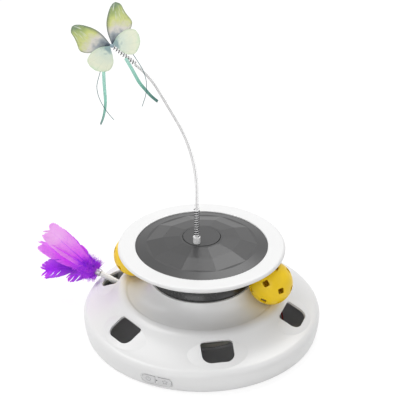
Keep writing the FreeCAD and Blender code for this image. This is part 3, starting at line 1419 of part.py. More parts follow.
RIBBON_LEFT = [(8.3, 12.0, -26.8), (8.2, 12.2, -35.3), (7.6, 12.4, -46.0), (7.5, 12.3, -56.9),
               (9.4, 12.0, -67.8), (11.7, 11.6, -75.5), (13.6, 11.2, -79.4)]
RIBBON_RIGHT = [(-15.2, 9.0, -13.0), (-18.9, 9.0, -20.0), (-22.6, 9.2, -27.8), (-26.3, 9.4, -35.3),
                (-32.1, 9.2, -42.8), (-37.9, 9.0, -50.4), (-43.8, 9.0, -55.3)]
THREAD_LEFT = [(12.8, 13.0, -25.5), (15.1, 13.4, -33.4), (15.4, 13.8, -41.0), (13.7, 14.0, -49.0),
               (10.1, 14.4, -57.5), (5.3, 14.6, -65.6), (-0.4, 14.6, -72.8)]
THREAD_RIGHT = [(-23.1, 9.0, -9.4), (-27.8, 10.4, -16.2), (-31.5, 11.2, -24.7), (-33.3, 11.4, -33.2),
                (-33.1, 11.4, -41.7), (-31.5, 11.4, -50.5), (-28.2, 11.2, -59.6)]
ribbon_left = feature("ribbon_left", flat_cord("ribbon_left", from_bead(RIBBON_LEFT), float(d.ribbon_width),
                                               float(d.ribbon_thickness), front_way))
ribbon_right = feature("ribbon_right", flat_cord("ribbon_right", from_bead(RIBBON_RIGHT),
                                                 float(d.ribbon_width), float(d.ribbon_thickness),
                                                 front_way))
thread_left, thread_right = [
    feature(name, cord(name, from_bead(route), float(d.thread_width) / 2))
    for name, route in (("thread_left", THREAD_LEFT), ("thread_right", THREAD_RIGHT))]

# Balls: thin shells with square holes spread by the golden angle, each with a loose bell inside
ball_out = doc.addObject("Part::Sphere", "ball_out")
bind(ball_out, "Radius", d.ball_radius)
ball_in = doc.addObject("Part::Sphere", "ball_in")
bind(ball_in, "Radius", d.ball_radius - d.ball_wall)
hole_corner = as_size(1.2)
ball_hole = plate("ball_hole", rounded(d.ball_hole, d.ball_hole, hole_corner, hole_corner), 20.0)
doc.recompute()
hole_shape = ball_hole.Shape.copy()
holes = []
hole_count = int(round(float(d.ball_hole_count)))
for i in range(hole_count):
    up = 1 - (2 * i + 1) / hole_count
    turn = math.radians(137.50776) * i
    way = Vector(math.sqrt(1 - up * up) * math.cos(turn), math.sqrt(1 - up * up) * math.sin(turn), up)
    hole = hole_shape.copy()
    hole.Placement = Placement(way * (float(d.ball_radius) - 8.0), Rotation(Vector(0, 0, 1), way))
    holes.append(hole)
ball_shell = cut("ball_shell", ball_out, ball_in, feature("ball_holes", Part.makeCompound(holes)))
bell_ball = doc.addObject("Part::Sphere", "bell_ball")
bind(bell_ball, "Radius", d.bell_radius)
bell_room = doc.addObject("Part::Sphere", "bell_room")
bind(bell_room, "Radius", d.bell_radius - d.bell_wall)
bell_shell = cut("bell_shell", bell_ball, bell_room,
                 *[box("bell_slot_" + way, w, b, d.bell_radius * 2, 0.0, 0.0, -d.bell_radius * 2)
                   for way, w, b in (("long", d.bell_radius * 1.5, d.bell_slot),
                                     ("cross", d.bell_slot, d.bell_radius * 1.5))])
pellet = doc.addObject("Part::Sphere", "pellet")
bind(pellet, "Radius", d.pellet_radius)
place(pellet, 0.0, 0.0, d.pellet_radius + d.bell_wall + d.slip - d.bell_radius)
doc.recompute()
bell_shape = Part.makeCompound([bell_shell.Shape.copy(), pellet.Shape.copy()])
bell_drop = d.ball_radius - d.ball_wall - d.bell_gap - d.bell_radius
for side, azimuth in (("left", -90.0), ("right", 90.0)):
    spot = polar(azimuth, d.ball_circle, ball_height)
    # the pattern of holes as it shows on each ball
    lie = Rotation(Vector(1, 0, 0), 35.0) if side == "left" else Rotation(Vector(0, 1, 0), 75.0)
    feature("ball_" + side, ball_shell.Shape.copy(), Placement(spot, lie))
    feature("bell_" + side, bell_shape.copy(), Placement(spot - Vector(0, 0, float(bell_drop)), Rotation()))

# Control panel: a pill of two buttons in a frame that clips into the front wall
button_outer = d.panel_width - d.panel_border * 2
button_tall = d.panel_height - d.panel_border * 2
panel_body = common("panel_body", wall_band("panel_band", d.panel_recess, d.wall + d.panel_gap),
                    pill("panel_pill", d.panel_width, d.panel_height))
back_front = d.wall + d.panel_gap
panel_back = common("panel_back", wall_band("panel_back_band", back_front, back_front + d.panel_back),
                    pill("panel_back_pill", d.panel_width + 4.0, d.panel_height))
divider = box("panel_divider", d.divider_width, 30.0, d.panel_height, 0.0, -d.base_radius,
              d.panel_centre - d.panel_height / 2)
button_room = cut("button_room", pill("button_room_pill", button_outer, button_tall), divider)
control_panel = cut("control_panel", fuse("panel_solid", panel_body, panel_back), button_room,
                    place(cylinder("lens_hole", d.lens_radius + d.screw_fit, 60.0),
                          0.0, -d.base_radius + 30.0, d.panel_centre, Rotation(Vector(1, 0, 0), 90)))
indicator_lens = common("indicator_lens", wall_band("lens_band", d.panel_recess, d.wall + d.panel_back),
                        place(cylinder("lens_bar", d.lens_radius, 60.0), 0.0, -d.base_radius + 30.0,
                              d.panel_centre, Rotation(Vector(1, 0, 0), 90)))
wide_divider = box("wide_divider", d.divider_width + d.button_gap * 2, 30.0, d.panel_height, 0.0,
                   -d.base_radius, d.panel_centre - d.panel_height / 2)
flange_divider = box("flange_divider", d.divider_width - d.button_gap * 2, 30.0, d.panel_height + 4.0, 0.0,
                     -d.base_radius, d.panel_centre - d.panel_height / 2 - 2.0)
back_depth = d.wall + d.panel_gap + d.panel_back + d.button_travel * 0.2
cap_pill = pill("cap_pill", button_outer - d.button_gap * 2, button_tall - d.button_gap * 2)
skirt_pill = pill("skirt_pill", button_outer + 1.4, button_tall + 1.4)
cap_band = wall_band("cap_band", d.panel_recess - d.button_proud, back_depth + d.button_skirt)
skirt_band = wall_band("skirt_band", back_depth, back_depth + d.button_skirt)
halves = fuse("button_halves", common("button_caps", cut("cap_pair", cap_pill, wide_divider), cap_band),
              common("button_skirts", cut("skirt_pair", skirt_pill, flange_divider), skirt_band))
switch_face = button_board_y + d.board_thickness / 2 + d.switch_height
for side, sign in (("left", -1), ("right", 1)):
    half = box("half_" + side, 60.0, 200.0, 60.0, 30.0 * sign, -100.0, d.panel_centre - 30.0)
    stem = place(cylinder("stem_" + side, 1.6, d.base_radius - back_depth - switch_face - 0.9 - 0.5),
                 d.button_x * sign, -(switch_face + 0.9), d.panel_centre, Rotation(Vector(1, 0, 0), 90))
    fuse("button_" + side, common("button_half_" + side, halves, half), stem)

# Boards: the buttons' own and the main one at the back, with the charging inlet
button_board = box("button_board", d.button_board_width, d.board_thickness, d.button_board_height, 0.0,
                   -button_board_y, tray_top + d.slip)
board_face = button_board_y + d.board_thickness / 2
lens_light = box("lens_light", 3.0, 1.0, 2.0, 0.0, -(board_face + 0.5), d.panel_centre - 1.0)
switches = []
for i, sign in enumerate((-1, 1)):
    case = box("switch_case_%d" % i, 6.0, d.switch_height - 0.8, 6.0, d.button_x * sign,
               -(board_face + (d.switch_height - 0.8) / 2), d.panel_centre - 3.0)
    tip = place(cylinder("switch_tip_%d" % i, 1.7, 1.2), d.button_x * sign, -(switch_face - 1.2),
                d.panel_centre, Rotation(Vector(1, 0, 0), 90))
    switches.append(fuse("switch_%d" % i, case, tip))
doc.recompute()
button_switches = feature("button_switches", Part.makeCompound(
    [s.Shape.copy() for s in switches] + [lens_light.Shape.copy()]))
board_holes = [cylinder("board_hole_%d" % i, d.small_screw_radius + d.slip, through, d.board_post_x * sx,
                        board_y + d.board_post_y * sy)
               for i, (sx, sy) in enumerate(((-1, -1), (1, -1), (1, 1), (-1, 1)))]
board_solid = fuse("board_solid", box("board_plate", d.board_width, d.board_depth, d.board_thickness, 0.0,
                                      board_y, d.board_height),
                   box("board_chip", 8.0, 8.0, 1.4, -6.0, board_y + 3.0, board_top - 0.1),
                   box("board_chip_small", 5.0, 4.0, 1.2, 6.0, board_y + 1.0, board_top - 0.1),
                   cylinder("board_capacitor", 2.6, 6.5, 13.0, board_y, board_top - 0.1),
                   *[box("board_plug_%d" % i, 5.0, 4.5, 4.5, x, board_y - d.board_depth / 2 + 3.0,
                         board_top - 0.1) for i, x in enumerate((-12.0, -4.0, 4.0, 12.0))])
circuit_board = cut("circuit_board", board_solid, *board_holes)
usb_y = d.base_radius - 0.9 - d.usb_length
usb_turn = Rotation(Vector(1, 0, 0), 90)
usb_round = d.usb_height / 2 - 0.1
usb_shell = place(plate("usb_shell", rounded(d.usb_width, d.usb_height, usb_round, usb_round), d.usb_length),
                  0.0, usb_y + d.usb_length, board_top + d.usb_height / 2, usb_turn)
usb_room = place(plate("usb_room", rounded(d.usb_width - 0.7, d.usb_height - 0.7, d.usb_height / 2 - 0.5,
                                           d.usb_height / 2 - 0.5), d.usb_length),
                 0.0, usb_y + d.usb_length + 1.0, board_top + d.usb_height / 2, usb_turn)
usb_tongue = box("usb_tongue", d.usb_width - 2.4, d.usb_length - 1.2, 0.7, 0.0,
                 usb_y + d.usb_length / 2 + 0.3, board_top + d.usb_height / 2 - 0.35)
usb_socket = fuse("usb_socket", cut("usb_can", usb_shell, usb_room), usb_tongue)

# Small screws inside: retainer, gear plates, pillars, collar, deck rim and board
def screws_round(circle, seat, first, points_up):
    spots = []
    for azimuth in azimuths(4, first):
        foot = polar(azimuth, circle)
        spots.append(screw_spot(foot.x, foot.y, seat, d.small_screw_depth, points_up))
    return spots


board_spots = [screw_spot(d.board_post_x * sx, board_y + d.board_post_y * sy, board_top,
                          d.small_screw_depth, False)
               for sx, sy in ((-1, -1), (1, -1), (1, 1), (-1, 1))]
small_screws = copies(
    "small_screws", small_screw,
    screws_round(d.retainer_post_circle, retainer_top, 45.0, False)
    + screws_round(d.pillar_circle, upper_plate_z + d.plate_thickness, 45.0, False)
    + screws_round(d.pillar_circle, lower_plate_height, 45.0, True)
    + screws_round(ledge_screw_circle, lower_plate_height + d.plate_thickness, 45.0, False)
    + screws_round(collar_screw_circle, neck_foot_height - d.wall, 45.0, True)
    + screws_round(rim_screw_circle, ledge_height, 0.0, False)
    + board_spots)

# Wires inside the base, from each motor, the battery box and the buttons to the plugs on the board
LURE_MOTOR_LEAD = [(0.0, 19.2, 50.0), (0.0, 19.2, 42.5), (1.5, 23.5, 35.0), (0.5, 32.0, 29.5),
                   (-1.5, 43.0, 26.5), (-2.5, 55.0, 24.5), (-4.5, 67.0, 22.0), (-5.5, 78.0, 17.8),
                   (-4.2, 88.0, 14.2), (-4.0, 96.7, 13.2)]
DRIVE_MOTOR_LEAD = [(43.5, 0.0, 37.6), (43.5, 0.5, 43.5), (41.5, 6.5, 47.5), (38.0, 16.0, 45.5),
                    (33.0, 26.0, 40.5), (28.0, 37.0, 35.0), (23.0, 49.0, 30.5), (18.5, 61.0, 26.0),
                    (14.5, 73.0, 21.5), (12.5, 85.0, 15.8), (12.0, 96.7, 13.2)]
BATTERY_LEAD = [(-14.0, 28.15, 14.0), (-14.0, 33.0, 14.1), (-14.2, 39.0, 15.6), (-14.8, 47.0, 18.0),
                (-13.6, 56.0, 18.9), (-12.0, 66.5, 17.6), (-11.3, 77.0, 15.4), (-11.8, 87.5, 13.8),
                (-12.0, 96.7, 13.2)]
BUTTON_LEAD = [(6.0, -113.2, 9.0), (6.3, -106.5, 8.6), (10.5, -99.5, 7.2), (20.0, -94.0, 5.7),
               (32.5, -90.5, 5.2), (46.0, -84.5, 5.3), (59.0, -75.5, 5.1), (70.5, -64.0, 5.3),
               (79.5, -50.0, 5.1), (86.5, -34.0, 5.3), (90.0, -16.5, 5.1), (91.0, 2.0, 5.3),
               (88.0, 20.0, 5.1), (82.5, 37.0, 5.3), (73.5, 52.0, 5.1), (62.5, 63.0, 5.3),
               (50.0, 71.0, 5.2), (37.0, 76.0, 5.4), (25.0, 78.5, 6.4), (14.0, 81.0, 8.8),
               (6.0, 87.0, 11.8), (4.0, 96.7, 13.2)]
lead = float(d.lead_radius)
feature("motor_leads", Part.makeCompound([cord("lure_motor_lead", LURE_MOTOR_LEAD, lead),
                                          cord("drive_motor_lead", DRIVE_MOTOR_LEAD, lead)]))
feature("battery_lead", cord("battery_lead", BATTERY_LEAD, lead))
feature("button_lead", cord("button_lead", BUTTON_LEAD, lead))

# Every piece that is a node of its own
NODES = [
    "base_tray", "top_shell", "neck_collar", "disc_rim", "cover_dome", "gear_plate_lower",
    "gear_plate_upper", "plate_pillars", "rotor_bushes", "butterfly_motor", "feather_motor",
    "carrier_retainer", "small_screws", "case_screws", "rubber_feet", "circuit_board", "usb_socket",
    "button_board", "button_switches", "control_panel", "indicator_lens", "battery_cells",
    "battery_contacts", "motor_leads", "battery_lead", "button_lead",
    "battery_door", "door_screws", "button_left", "button_right",
    "rotor_disc", "rotor_shaft", "rotor_gear", "rotor_pinion", "butterfly_motor_shaft",
    "wire_plug", "base_spring", "lure_wire", "wire_sleeve", "tip_spring", "butterfly_bead",
    "forewing_left", "forewing_right", "hindwing_left", "hindwing_right",
    "ribbon_left", "ribbon_right", "thread_left", "thread_right",
    "feather_carrier", "wand_socket", "carrier_pinion", "feather_motor_shaft",
    "wand_tube", "feather_ferrule", "feather_plumes",
    "ball_left", "bell_left", "ball_right", "bell_right",
]

doc.recompute()
for thing in doc.Objects:
    if "Invalid" in thing.State or "Error" in thing.State:
        raise RuntimeError("%s failed: %s" % (thing.Label, thing.State))
pieces = {}
for name in NODES:
    piece = doc.getObjectsByLabel(name)[0].Shape
    if piece.isNull() or not piece.isValid() or not piece.Solids:
        raise RuntimeError("%s has no valid shape" % name)
    pieces[name] = piece
os.makedirs("parts", exist_ok=True)
for name, piece in pieces.items():
    piece.exportStep("parts/%s.step" % name)
print("%d pieces" % len(pieces))
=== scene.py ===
# %% [markdown]
# # Electric turntable cat teaser
# The CAD model holds every hard piece of this toy: the white base with its windows, the neck, the
# disc with its grey cover, the balls, the wire and all that is inside. Blender adds what makes it
# look real, which is the finish of each piece, the printed wings, the ribbons and the feathers.
# All lengths are in metres, in the same frame as the CAD model, so nothing has to be fitted.

# %% Load the frame
import math
import random
import bpy
from mathutils import Matrix, Vector, noise


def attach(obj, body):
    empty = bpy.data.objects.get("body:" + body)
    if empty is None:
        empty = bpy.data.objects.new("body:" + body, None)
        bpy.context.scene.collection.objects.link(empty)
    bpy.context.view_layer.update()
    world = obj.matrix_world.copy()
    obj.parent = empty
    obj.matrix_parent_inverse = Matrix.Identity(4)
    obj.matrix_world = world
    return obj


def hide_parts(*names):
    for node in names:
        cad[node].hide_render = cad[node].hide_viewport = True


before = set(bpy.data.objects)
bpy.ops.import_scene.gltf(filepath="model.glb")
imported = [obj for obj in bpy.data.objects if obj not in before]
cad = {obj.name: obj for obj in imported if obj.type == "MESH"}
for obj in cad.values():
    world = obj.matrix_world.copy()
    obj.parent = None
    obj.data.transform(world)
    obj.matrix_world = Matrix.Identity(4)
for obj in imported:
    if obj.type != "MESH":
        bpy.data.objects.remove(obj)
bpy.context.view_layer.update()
print("CAD nodes:", len(cad))

# %% [markdown]
# Most new pieces start from one of Blender's primitives, whose points are moved or edited. An edit
# acts on all that is selected, so these few helpers deselect every object, enter edit mode with the
# whole mesh selected, and name and settle a piece. A finished piece keeps its place in its mesh, with
# its object at the origin, so that a pattern in Object coordinates stays put.

# %% Small helpers for modelling
def start_clean():
    if bpy.context.object and bpy.context.object.mode != "OBJECT":
        bpy.ops.object.mode_set(mode="OBJECT")
    bpy.ops.object.select_all(action="DESELECT")


def named(name):
    """Name the active object and its mesh."""
    thing = bpy.context.object
    thing.name = name
    thing.data.name = name
    return thing


def settle(thing, *modifiers):
    """Apply modifiers and the object's own place, so that the mesh holds all of it."""
    start_clean()
    thing.select_set(True)
    bpy.context.view_layer.objects.active = thing
    for modifier in modifiers:
        bpy.ops.object.modifier_apply(modifier=modifier)
    bpy.ops.object.transform_apply(location=True, rotation=True, scale=True)
    return thing


def edit_all():
    """Enter edit mode with the whole mesh selected."""
    bpy.ops.object.mode_set(mode="EDIT")
    bpy.ops.mesh.select_all(action="SELECT")


def mm(*values):
    """A point given in millimetres, as the CAD model's sizes are."""
    return Vector(values) / 1000.0


def turned(degrees, axis):
    """A rotation about X, Y or Z."""
    return Matrix.Rotation(math.radians(degrees), 4, axis)


# %% [markdown]
# Finishes and light are built from shader nodes. A node is made, set and linked in several lines, so
# a few more helpers do that in one: each returns the output that the next node needs. An input is
# named by its label, with _ for a space, or by its number as i0, i1 and so on.

# %% Small helpers for nodes
def fill(tree, node, **values):
    """Set the inputs of a node; a value may also be an output to link from."""
    for label, value in values.items():
        key = int(label[1:]) if label[0] == "i" and label[1:].isdigit() else label.replace("_", " ")
        if isinstance(value, bpy.types.NodeSocket):
            tree.links.new(value, node.inputs[key])
        else:
            node.inputs[key].default_value = value
    return node


def add(tree, kind, operation=None, **values):
    """A new node with its inputs set."""
    node = tree.nodes.new(kind)
    if operation:
        node.operation = operation
    if kind == "ShaderNodeMix":
        node.data_type = "RGBA"
    return fill(tree, node, **values)


def maths(tree, operation, *values):
    """The result of a Math node."""
    return add(tree, "ShaderNodeMath", operation, **{"i%d" % i: v for i, v in enumerate(values)}).outputs[0]


def vectors(tree, operation, *values):
    """The result of a Vector Math node, whose scale is its fourth input."""
    places = (0, 3) if operation == "SCALE" else range(len(values))
    node = add(tree, "ShaderNodeVectorMath", operation, **{"i%d" % i: v for i, v in zip(places, values)})
    return node.outputs["Value" if operation in ("DOT_PRODUCT", "LENGTH") else "Vector"]


def rescale(tree, value, low, high, start=0.0, end=1.0):
    """A value that runs from start to end while the given one runs from low to high."""
    return add(tree, "ShaderNodeMapRange", Value=value, From_Min=low, From_Max=high, To_Min=start,
               To_Max=end).outputs[0]


def clouds(tree, where, scale, detail, **more):
    """The grey of a noise texture."""
    return add(tree, "ShaderNodeTexNoise", Vector=where, Scale=scale, Detail=detail, **more).outputs[0]


def blend(tree, share, first, second):
    """The colour between two others, by the share of the second."""
    return add(tree, "ShaderNodeMix", i0=share, i6=first, i7=second).outputs[2]


def ramp(tree, value, steps):
    """The colour at a value, from (value, colour) steps."""
    node = add(tree, "ShaderNodeValToRGB", Fac=value)
    elements = node.color_ramp.elements
    while len(elements) < len(steps):
        elements.new(0.5)
    for element, (where, colour) in zip(elements, steps):
        element.position = where
        element.color = (*colour, 1.0)
    return node.outputs[0]


def fresh(name, rough=0.5):
    """A new material, its tree of nodes and its shader."""
    made = bpy.data.materials.new(name)
    made.use_nodes = True
    tree = made.node_tree
    return made, tree, fill(tree, tree.nodes["Principled BSDF"], Roughness=rough)


def emboss(tree, shader, height, strength, distance):
    """Let a height pattern tilt the reflections of a shader."""
    relief = add(tree, "ShaderNodeBump", Height=height, Strength=strength, Distance=distance)
    fill(tree, shader, Normal=relief.outputs[0])


# %% [markdown]
# ## Camera, light and floor
# The photograph looks down on the toy by 29 degrees, from a little to the right of the control
# panel, through a long lens. A camera fitted to the outlines of the disc and the base gives the
# distance and the lens. The light is that of a plain studio: one wide lamp high on the left, one as
# strong behind, softer ones in front and on the right, and a pale room that fills the shadows. Their
# power is set so that the ring round the disc comes out just below white, as in the photograph.

# %% The camera
def heading(azimuth_deg, height_deg):
    """The direction from the toy towards a place seen at these angles, 0 being the front."""
    turn, rise = math.radians(azimuth_deg), math.radians(height_deg)
    return Vector((math.sin(turn) * math.cos(rise), -math.cos(turn) * math.cos(rise), math.sin(rise)))


photo_azimuth, photo_pitch = 20.9, 29.1
photo_distance = 1.2767
look_at = mm(0, 0, 154.6)
photo_width_px, focal_px, shift_px = 400, 1212.8, -1.6
sensor = 36.0
away = heading(photo_azimuth, photo_pitch)
lens = bpy.data.cameras.new("photo_camera")
lens.sensor_width = sensor
lens.lens = sensor * focal_px / photo_width_px
lens.shift_x = shift_px / photo_width_px
camera = bpy.data.objects.new("photo_camera", lens)
bpy.context.scene.collection.objects.link(camera)
camera.location = look_at + away * photo_distance
camera.rotation_euler = (-away).to_track_quat("-Z", "Y").to_euler()
bpy.context.scene.camera = camera
bpy.context.scene.view_settings.view_transform = "Standard"
print("lens", round(lens.lens, 1), "mm")

# %% The lamps
lamps_aim_at = mm(0, 0, 90)


def lamp(name, azimuth_deg, height_deg, reach, size, power):
    """A square lamp that faces the toy."""
    data = bpy.data.lights.new(name, "AREA")
    data.size = size
    data.energy = power
    thing = bpy.data.objects.new(name, data)
    bpy.context.scene.collection.objects.link(thing)
    way = heading(azimuth_deg, height_deg)
    thing.location = lamps_aim_at + way * reach
    thing.rotation_euler = (-way).to_track_quat("-Z", "Y").to_euler()


lamp("key_lamp", -85, 62, reach=1.6, size=1.1, power=12.4)
lamp("side_lamp", 80, 30, reach=1.8, size=1.2, power=3.0)
lamp("back_lamp", 175, 58, reach=1.8, size=1.0, power=12.7)
lamp("front_lamp", 5, 18, reach=1.9, size=1.3, power=8.2)

# %% [markdown]
# The room is white where the camera, a mirror or a clear piece sees it, and dimmer where it lights
# the toy, so that white plastic keeps its shading. The Light Path node tells the two apart. The
# floor is matt paper that glows where it is seen, and so comes out white round a soft shadow.

# %% The room and the floor
def seen_directly(tree):
    """1 where a ray comes straight from the camera, a reflection or a clear piece."""
    path = add(tree, "ShaderNodeLightPath").outputs
    first = maths(tree, "MAXIMUM", path["Is Camera Ray"], path["Is Glossy Ray"])
    return maths(tree, "MAXIMUM", first, path["Is Transmission Ray"])


room_light, room_seen, white = 0.36, 1.0, (1.0, 1.0, 1.0, 1.0)
world = bpy.data.worlds.new("pale_room")
bpy.context.scene.world = world
world.use_nodes = True
tree = world.node_tree
tree.nodes.clear()
lit = add(tree, "ShaderNodeBackground", Color=white, Strength=room_light)
shown = add(tree, "ShaderNodeBackground", Color=white, Strength=room_seen)
mixed = add(tree, "ShaderNodeMixShader", i0=seen_directly(tree), i1=lit.outputs[0], i2=shown.outputs[0])
add(tree, "ShaderNodeOutputWorld", Surface=mixed.outputs[0])

floor_size, floor_grey, floor_glow, glow_share = 8.0, 0.86, 1.14, 0.72
start_clean()
bpy.ops.mesh.primitive_plane_add(size=floor_size, location=(0, 0, 0))
floor = named("studio_floor")
paper = bpy.data.materials.new("studio_paper")
paper.use_nodes = True
tree = paper.node_tree
tree.nodes.clear()
matt = add(tree, "ShaderNodeBsdfDiffuse", Color=(floor_grey, floor_grey, floor_grey, 1.0))
glow = add(tree, "ShaderNodeEmission", Strength=floor_glow)
share = maths(tree, "MULTIPLY", seen_directly(tree), glow_share)
mixed = add(tree, "ShaderNodeMixShader", i0=share, i1=matt.outputs[0], i2=glow.outputs[0])
add(tree, "ShaderNodeOutputMaterial", Surface=mixed.outputs[0])
floor.data.materials.append(paper)

# %% [markdown]
# ## Finishes
# Real plastic and metal are never one flat colour. Three effects are shared by many finishes, so
# each is a node group: the skin of a moulding, the lines that drawing or turning leaves in metal,
# and a film of dust on faces that look up. A group gives only masks, values and heights, and each
# material keeps its own shader and sets its own amounts.

# %% A helper for node groups
def effect(name, inputs, outputs):
    """A shader node group with named inputs (each with its usual value) and outputs."""
    group = bpy.data.node_groups.new(name, "ShaderNodeTree")
    for label, usual in inputs.items():
        socket = group.interface.new_socket(name=label, in_out="INPUT", socket_type="NodeSocketFloat")
        socket.default_value = usual
    for label in outputs:
        group.interface.new_socket(name=label, in_out="OUTPUT", socket_type="NodeSocketFloat")
    return group, group.nodes.new("NodeGroupInput").outputs, group.nodes.new("NodeGroupOutput")


# %% The skin of a moulding
skin, given, result = effect("moulded_skin", {"Grain": 1800.0, "Flow": 28.0}, ["Tint", "Gloss", "Height"])
place = add(skin, "ShaderNodeTexCoord").outputs["Object"]
flow = clouds(skin, place, given["Flow"], 4.0, Roughness=0.6)
fine = clouds(skin, place, 420.0, 3.0)
flow_share = 0.6
both = maths(skin, "MULTIPLY_ADD", flow, flow_share, fine)
fill(skin, result, Tint=flow, Gloss=maths(skin, "MULTIPLY", both, 1 / (1 + flow_share)),
     Height=clouds(skin, place, given["Grain"], 2.0))

# %% Lines in drawn or turned metal
drawn, given, result = effect("drawn_lines", {"Across": 900.0, "Along": 40.0}, ["Line"])
place = add(drawn, "ShaderNodeTexCoord").outputs["Object"]
stretch = add(drawn, "ShaderNodeCombineXYZ", X=given["Across"], Y=given["Across"], Z=given["Along"])
lines = vectors(drawn, "MULTIPLY", place, stretch.outputs[0])
fill(drawn, result, Line=clouds(drawn, lines, 1.0, 3.0))

# %% A film of dust
dust, given, result = effect("dust_film", {"Amount": 0.1, "Scale": 60.0}, ["Mask"])
shape = add(dust, "ShaderNodeNewGeometry")
up = add(dust, "ShaderNodeSeparateXYZ", Vector=shape.outputs["Normal"])
facing = rescale(dust, up.outputs["Z"], 0.35, 1.0)
place = add(dust, "ShaderNodeTexCoord").outputs["Object"]
thick = maths(dust, "MULTIPLY", clouds(dust, place, given["Scale"], 6.0, Roughness=0.65), facing)
speckled = maths(dust, "MULTIPLY_ADD", clouds(dust, place, 1500.0, 1.0), 0.35, thick)
fill(dust, result, Mask=maths(dust, "MULTIPLY", speckled, given["Amount"]))
print("effects:", [g.name for g in bpy.data.node_groups])

# %% [markdown]
# A finish puts these effects round a Principled shader. The colour varies by a few percent with
# the flow of the plastic, the roughness varies more than the colour, and a very fine bump breaks
# up the reflections. Numbers that are the same all over go straight on the shader's sockets.

# %% A helper for plastics and rubber
dust_colour = (0.62, 0.60, 0.57, 1.0)
smoothest = 0.03


def shaded(colour, factor):
    """A colour made lighter or darker, as the four values that a socket takes."""
    return [min(1.0, c * factor) for c in colour] + [1.0]


def uneven(tree, value, low, high, rough, spread):
    """A roughness that follows a value between two limits, to either side of its mean."""
    return rescale(tree, value, low, high, max(smoothest, rough - spread), min(1.0, rough + spread))


def plastic(name, colour, rough, spread=0.12, shift=0.05, grain=1800.0, bump=0.02, dusty=0.05, **more):
    """A moulded finish. Colour, roughness and its spread, colour shift, grain and bump are its own."""
    made, tree, shader = fresh(name)
    moulded = add(tree, "ShaderNodeGroup")
    moulded.node_tree = skin
    fill(tree, moulded, Grain=grain)
    film = add(tree, "ShaderNodeGroup")
    film.node_tree = dust
    fill(tree, film, Amount=dusty)
    tint = blend(tree, moulded.outputs["Tint"], shaded(colour, 1 - shift), shaded(colour, 1 + shift))
    fill(tree, shader, Base_Color=blend(tree, film.outputs["Mask"], tint, dust_colour),
         Roughness=uneven(tree, moulded.outputs["Gloss"], 0.25, 0.75, rough, spread), **more)
    emboss(tree, shader, moulded.outputs["Height"], bump, 0.0002)
    return made


# %% A helper for metals
def metal(name, colour, rough, across=900.0, along=40.0, bump=0.05, shift=0.10, spread=0.08):
    """A drawn or turned metal: fine lines along Z vary its roughness and its colour."""
    made, tree, shader = fresh(name)
    fill(tree, shader, Metallic=1.0)
    lined = add(tree, "ShaderNodeGroup")
    lined.node_tree = drawn
    fill(tree, lined, Across=across, Along=along)
    line = lined.outputs["Line"]
    fill(tree, shader, Base_Color=blend(tree, line, shaded(colour, 1 - shift), shaded(colour, 1 + shift)),
         Roughness=uneven(tree, line, 0.3, 0.7, rough, spread))
    emboss(tree, shader, line, bump, 0.0001)
    return made


def dress(material, *names):
    """Give CAD nodes, by name, or new pieces this finish."""
    for name in names:
        thing = cad[name] if isinstance(name, str) else name
        thing.data.materials.clear()
        thing.data.materials.append(material)


# %% [markdown]
# The base and the ring round the disc are glossy white mouldings. The neck is a dark satin moulding
# and the faceted cover a little lighter, glossy enough to mirror the wire. The tray is a mid grey
# floor that shows through the windows.

# %% The casing
white_shell = plastic("white_shell", (0.80, 0.80, 0.80), 0.32, spread=0.06, shift=0.006, bump=0.004,
                      dusty=0.0, Coat_Weight=0.15, Coat_Roughness=0.18)
dress(white_shell, "top_shell", "disc_rim")
dark_tray = plastic("dark_tray", (0.60, 0.60, 0.61), 0.55, spread=0.12, shift=0.08, grain=900.0, bump=0.10)
dress(dark_tray, "base_tray", "battery_door", "carrier_retainer")
dark_neck = plastic("dark_neck", (0.021, 0.021, 0.022), 0.26, spread=0.05, shift=0.05, bump=0.006, dusty=0.0)
dress(dark_neck, "neck_collar")
grey_cover = plastic("grey_cover", (0.047, 0.047, 0.048), 0.30, spread=0.04, shift=0.03, bump=0.004,
                     dusty=0.0, Specular_IOR_Level=0.40)
dress(grey_cover, "cover_dome", "rotor_disc")

# %% [markdown]
# Inside the base are the gears, the wand's socket, the boards and the wires. Little of them shows,
# but through the windows and with the door off they have to look like what they are: tinned pads on
# green board, brass pinions, drawn motor cans.

# %% The drive and the electrics
pale_frame = plastic("pale_frame", (0.60, 0.60, 0.58), 0.45, shift=0.05, grain=1200.0, bump=0.08)
dress(pale_frame, "gear_plate_lower", "gear_plate_upper", "plate_pillars")
acetal = plastic("gear_acetal", (0.72, 0.70, 0.62), 0.38, shift=0.05, Subsurface_Weight=0.1,
                 Subsurface_Scale=0.002)
dress(acetal, "rotor_gear", "feather_carrier", "wand_socket")
brass = metal("turned_brass", (0.78, 0.58, 0.26), 0.26)
dress(brass, "rotor_bushes", "rotor_pinion", "carrier_pinion")
ground_steel = metal("ground_steel", (0.60, 0.60, 0.62), 0.22)
dress(ground_steel, "rotor_shaft", "butterfly_motor_shaft", "feather_motor_shaft")
motor_can = metal("motor_can", (0.62, 0.62, 0.64), 0.34, across=300.0, along=1500.0)
dress(motor_can, "butterfly_motor", "feather_motor")
zinc = metal("zinc_screws", (0.58, 0.59, 0.60), 0.36, across=1500.0, along=1500.0, shift=0.16)
dress(zinc, "small_screws", "case_screws", "door_screws")
nickel = metal("plated_nickel", (0.72, 0.71, 0.68), 0.18, across=500.0, along=500.0)
dress(nickel, "bell_left", "bell_right", "battery_contacts", "usb_socket")
black_rubber = plastic("black_rubber", (0.030, 0.030, 0.030), 0.78, spread=0.10, shift=0.2, grain=2600.0,
                       bump=0.2, dusty=0.25)
dress(black_rubber, "rubber_feet")
cell_wrap = plastic("cell_wrap", (0.10, 0.10, 0.11), 0.30, spread=0.06, shift=0.2, grain=400.0, bump=0.04)
dress(cell_wrap, "battery_cells")
black_switch = plastic("black_switch", (0.03, 0.03, 0.032), 0.42)
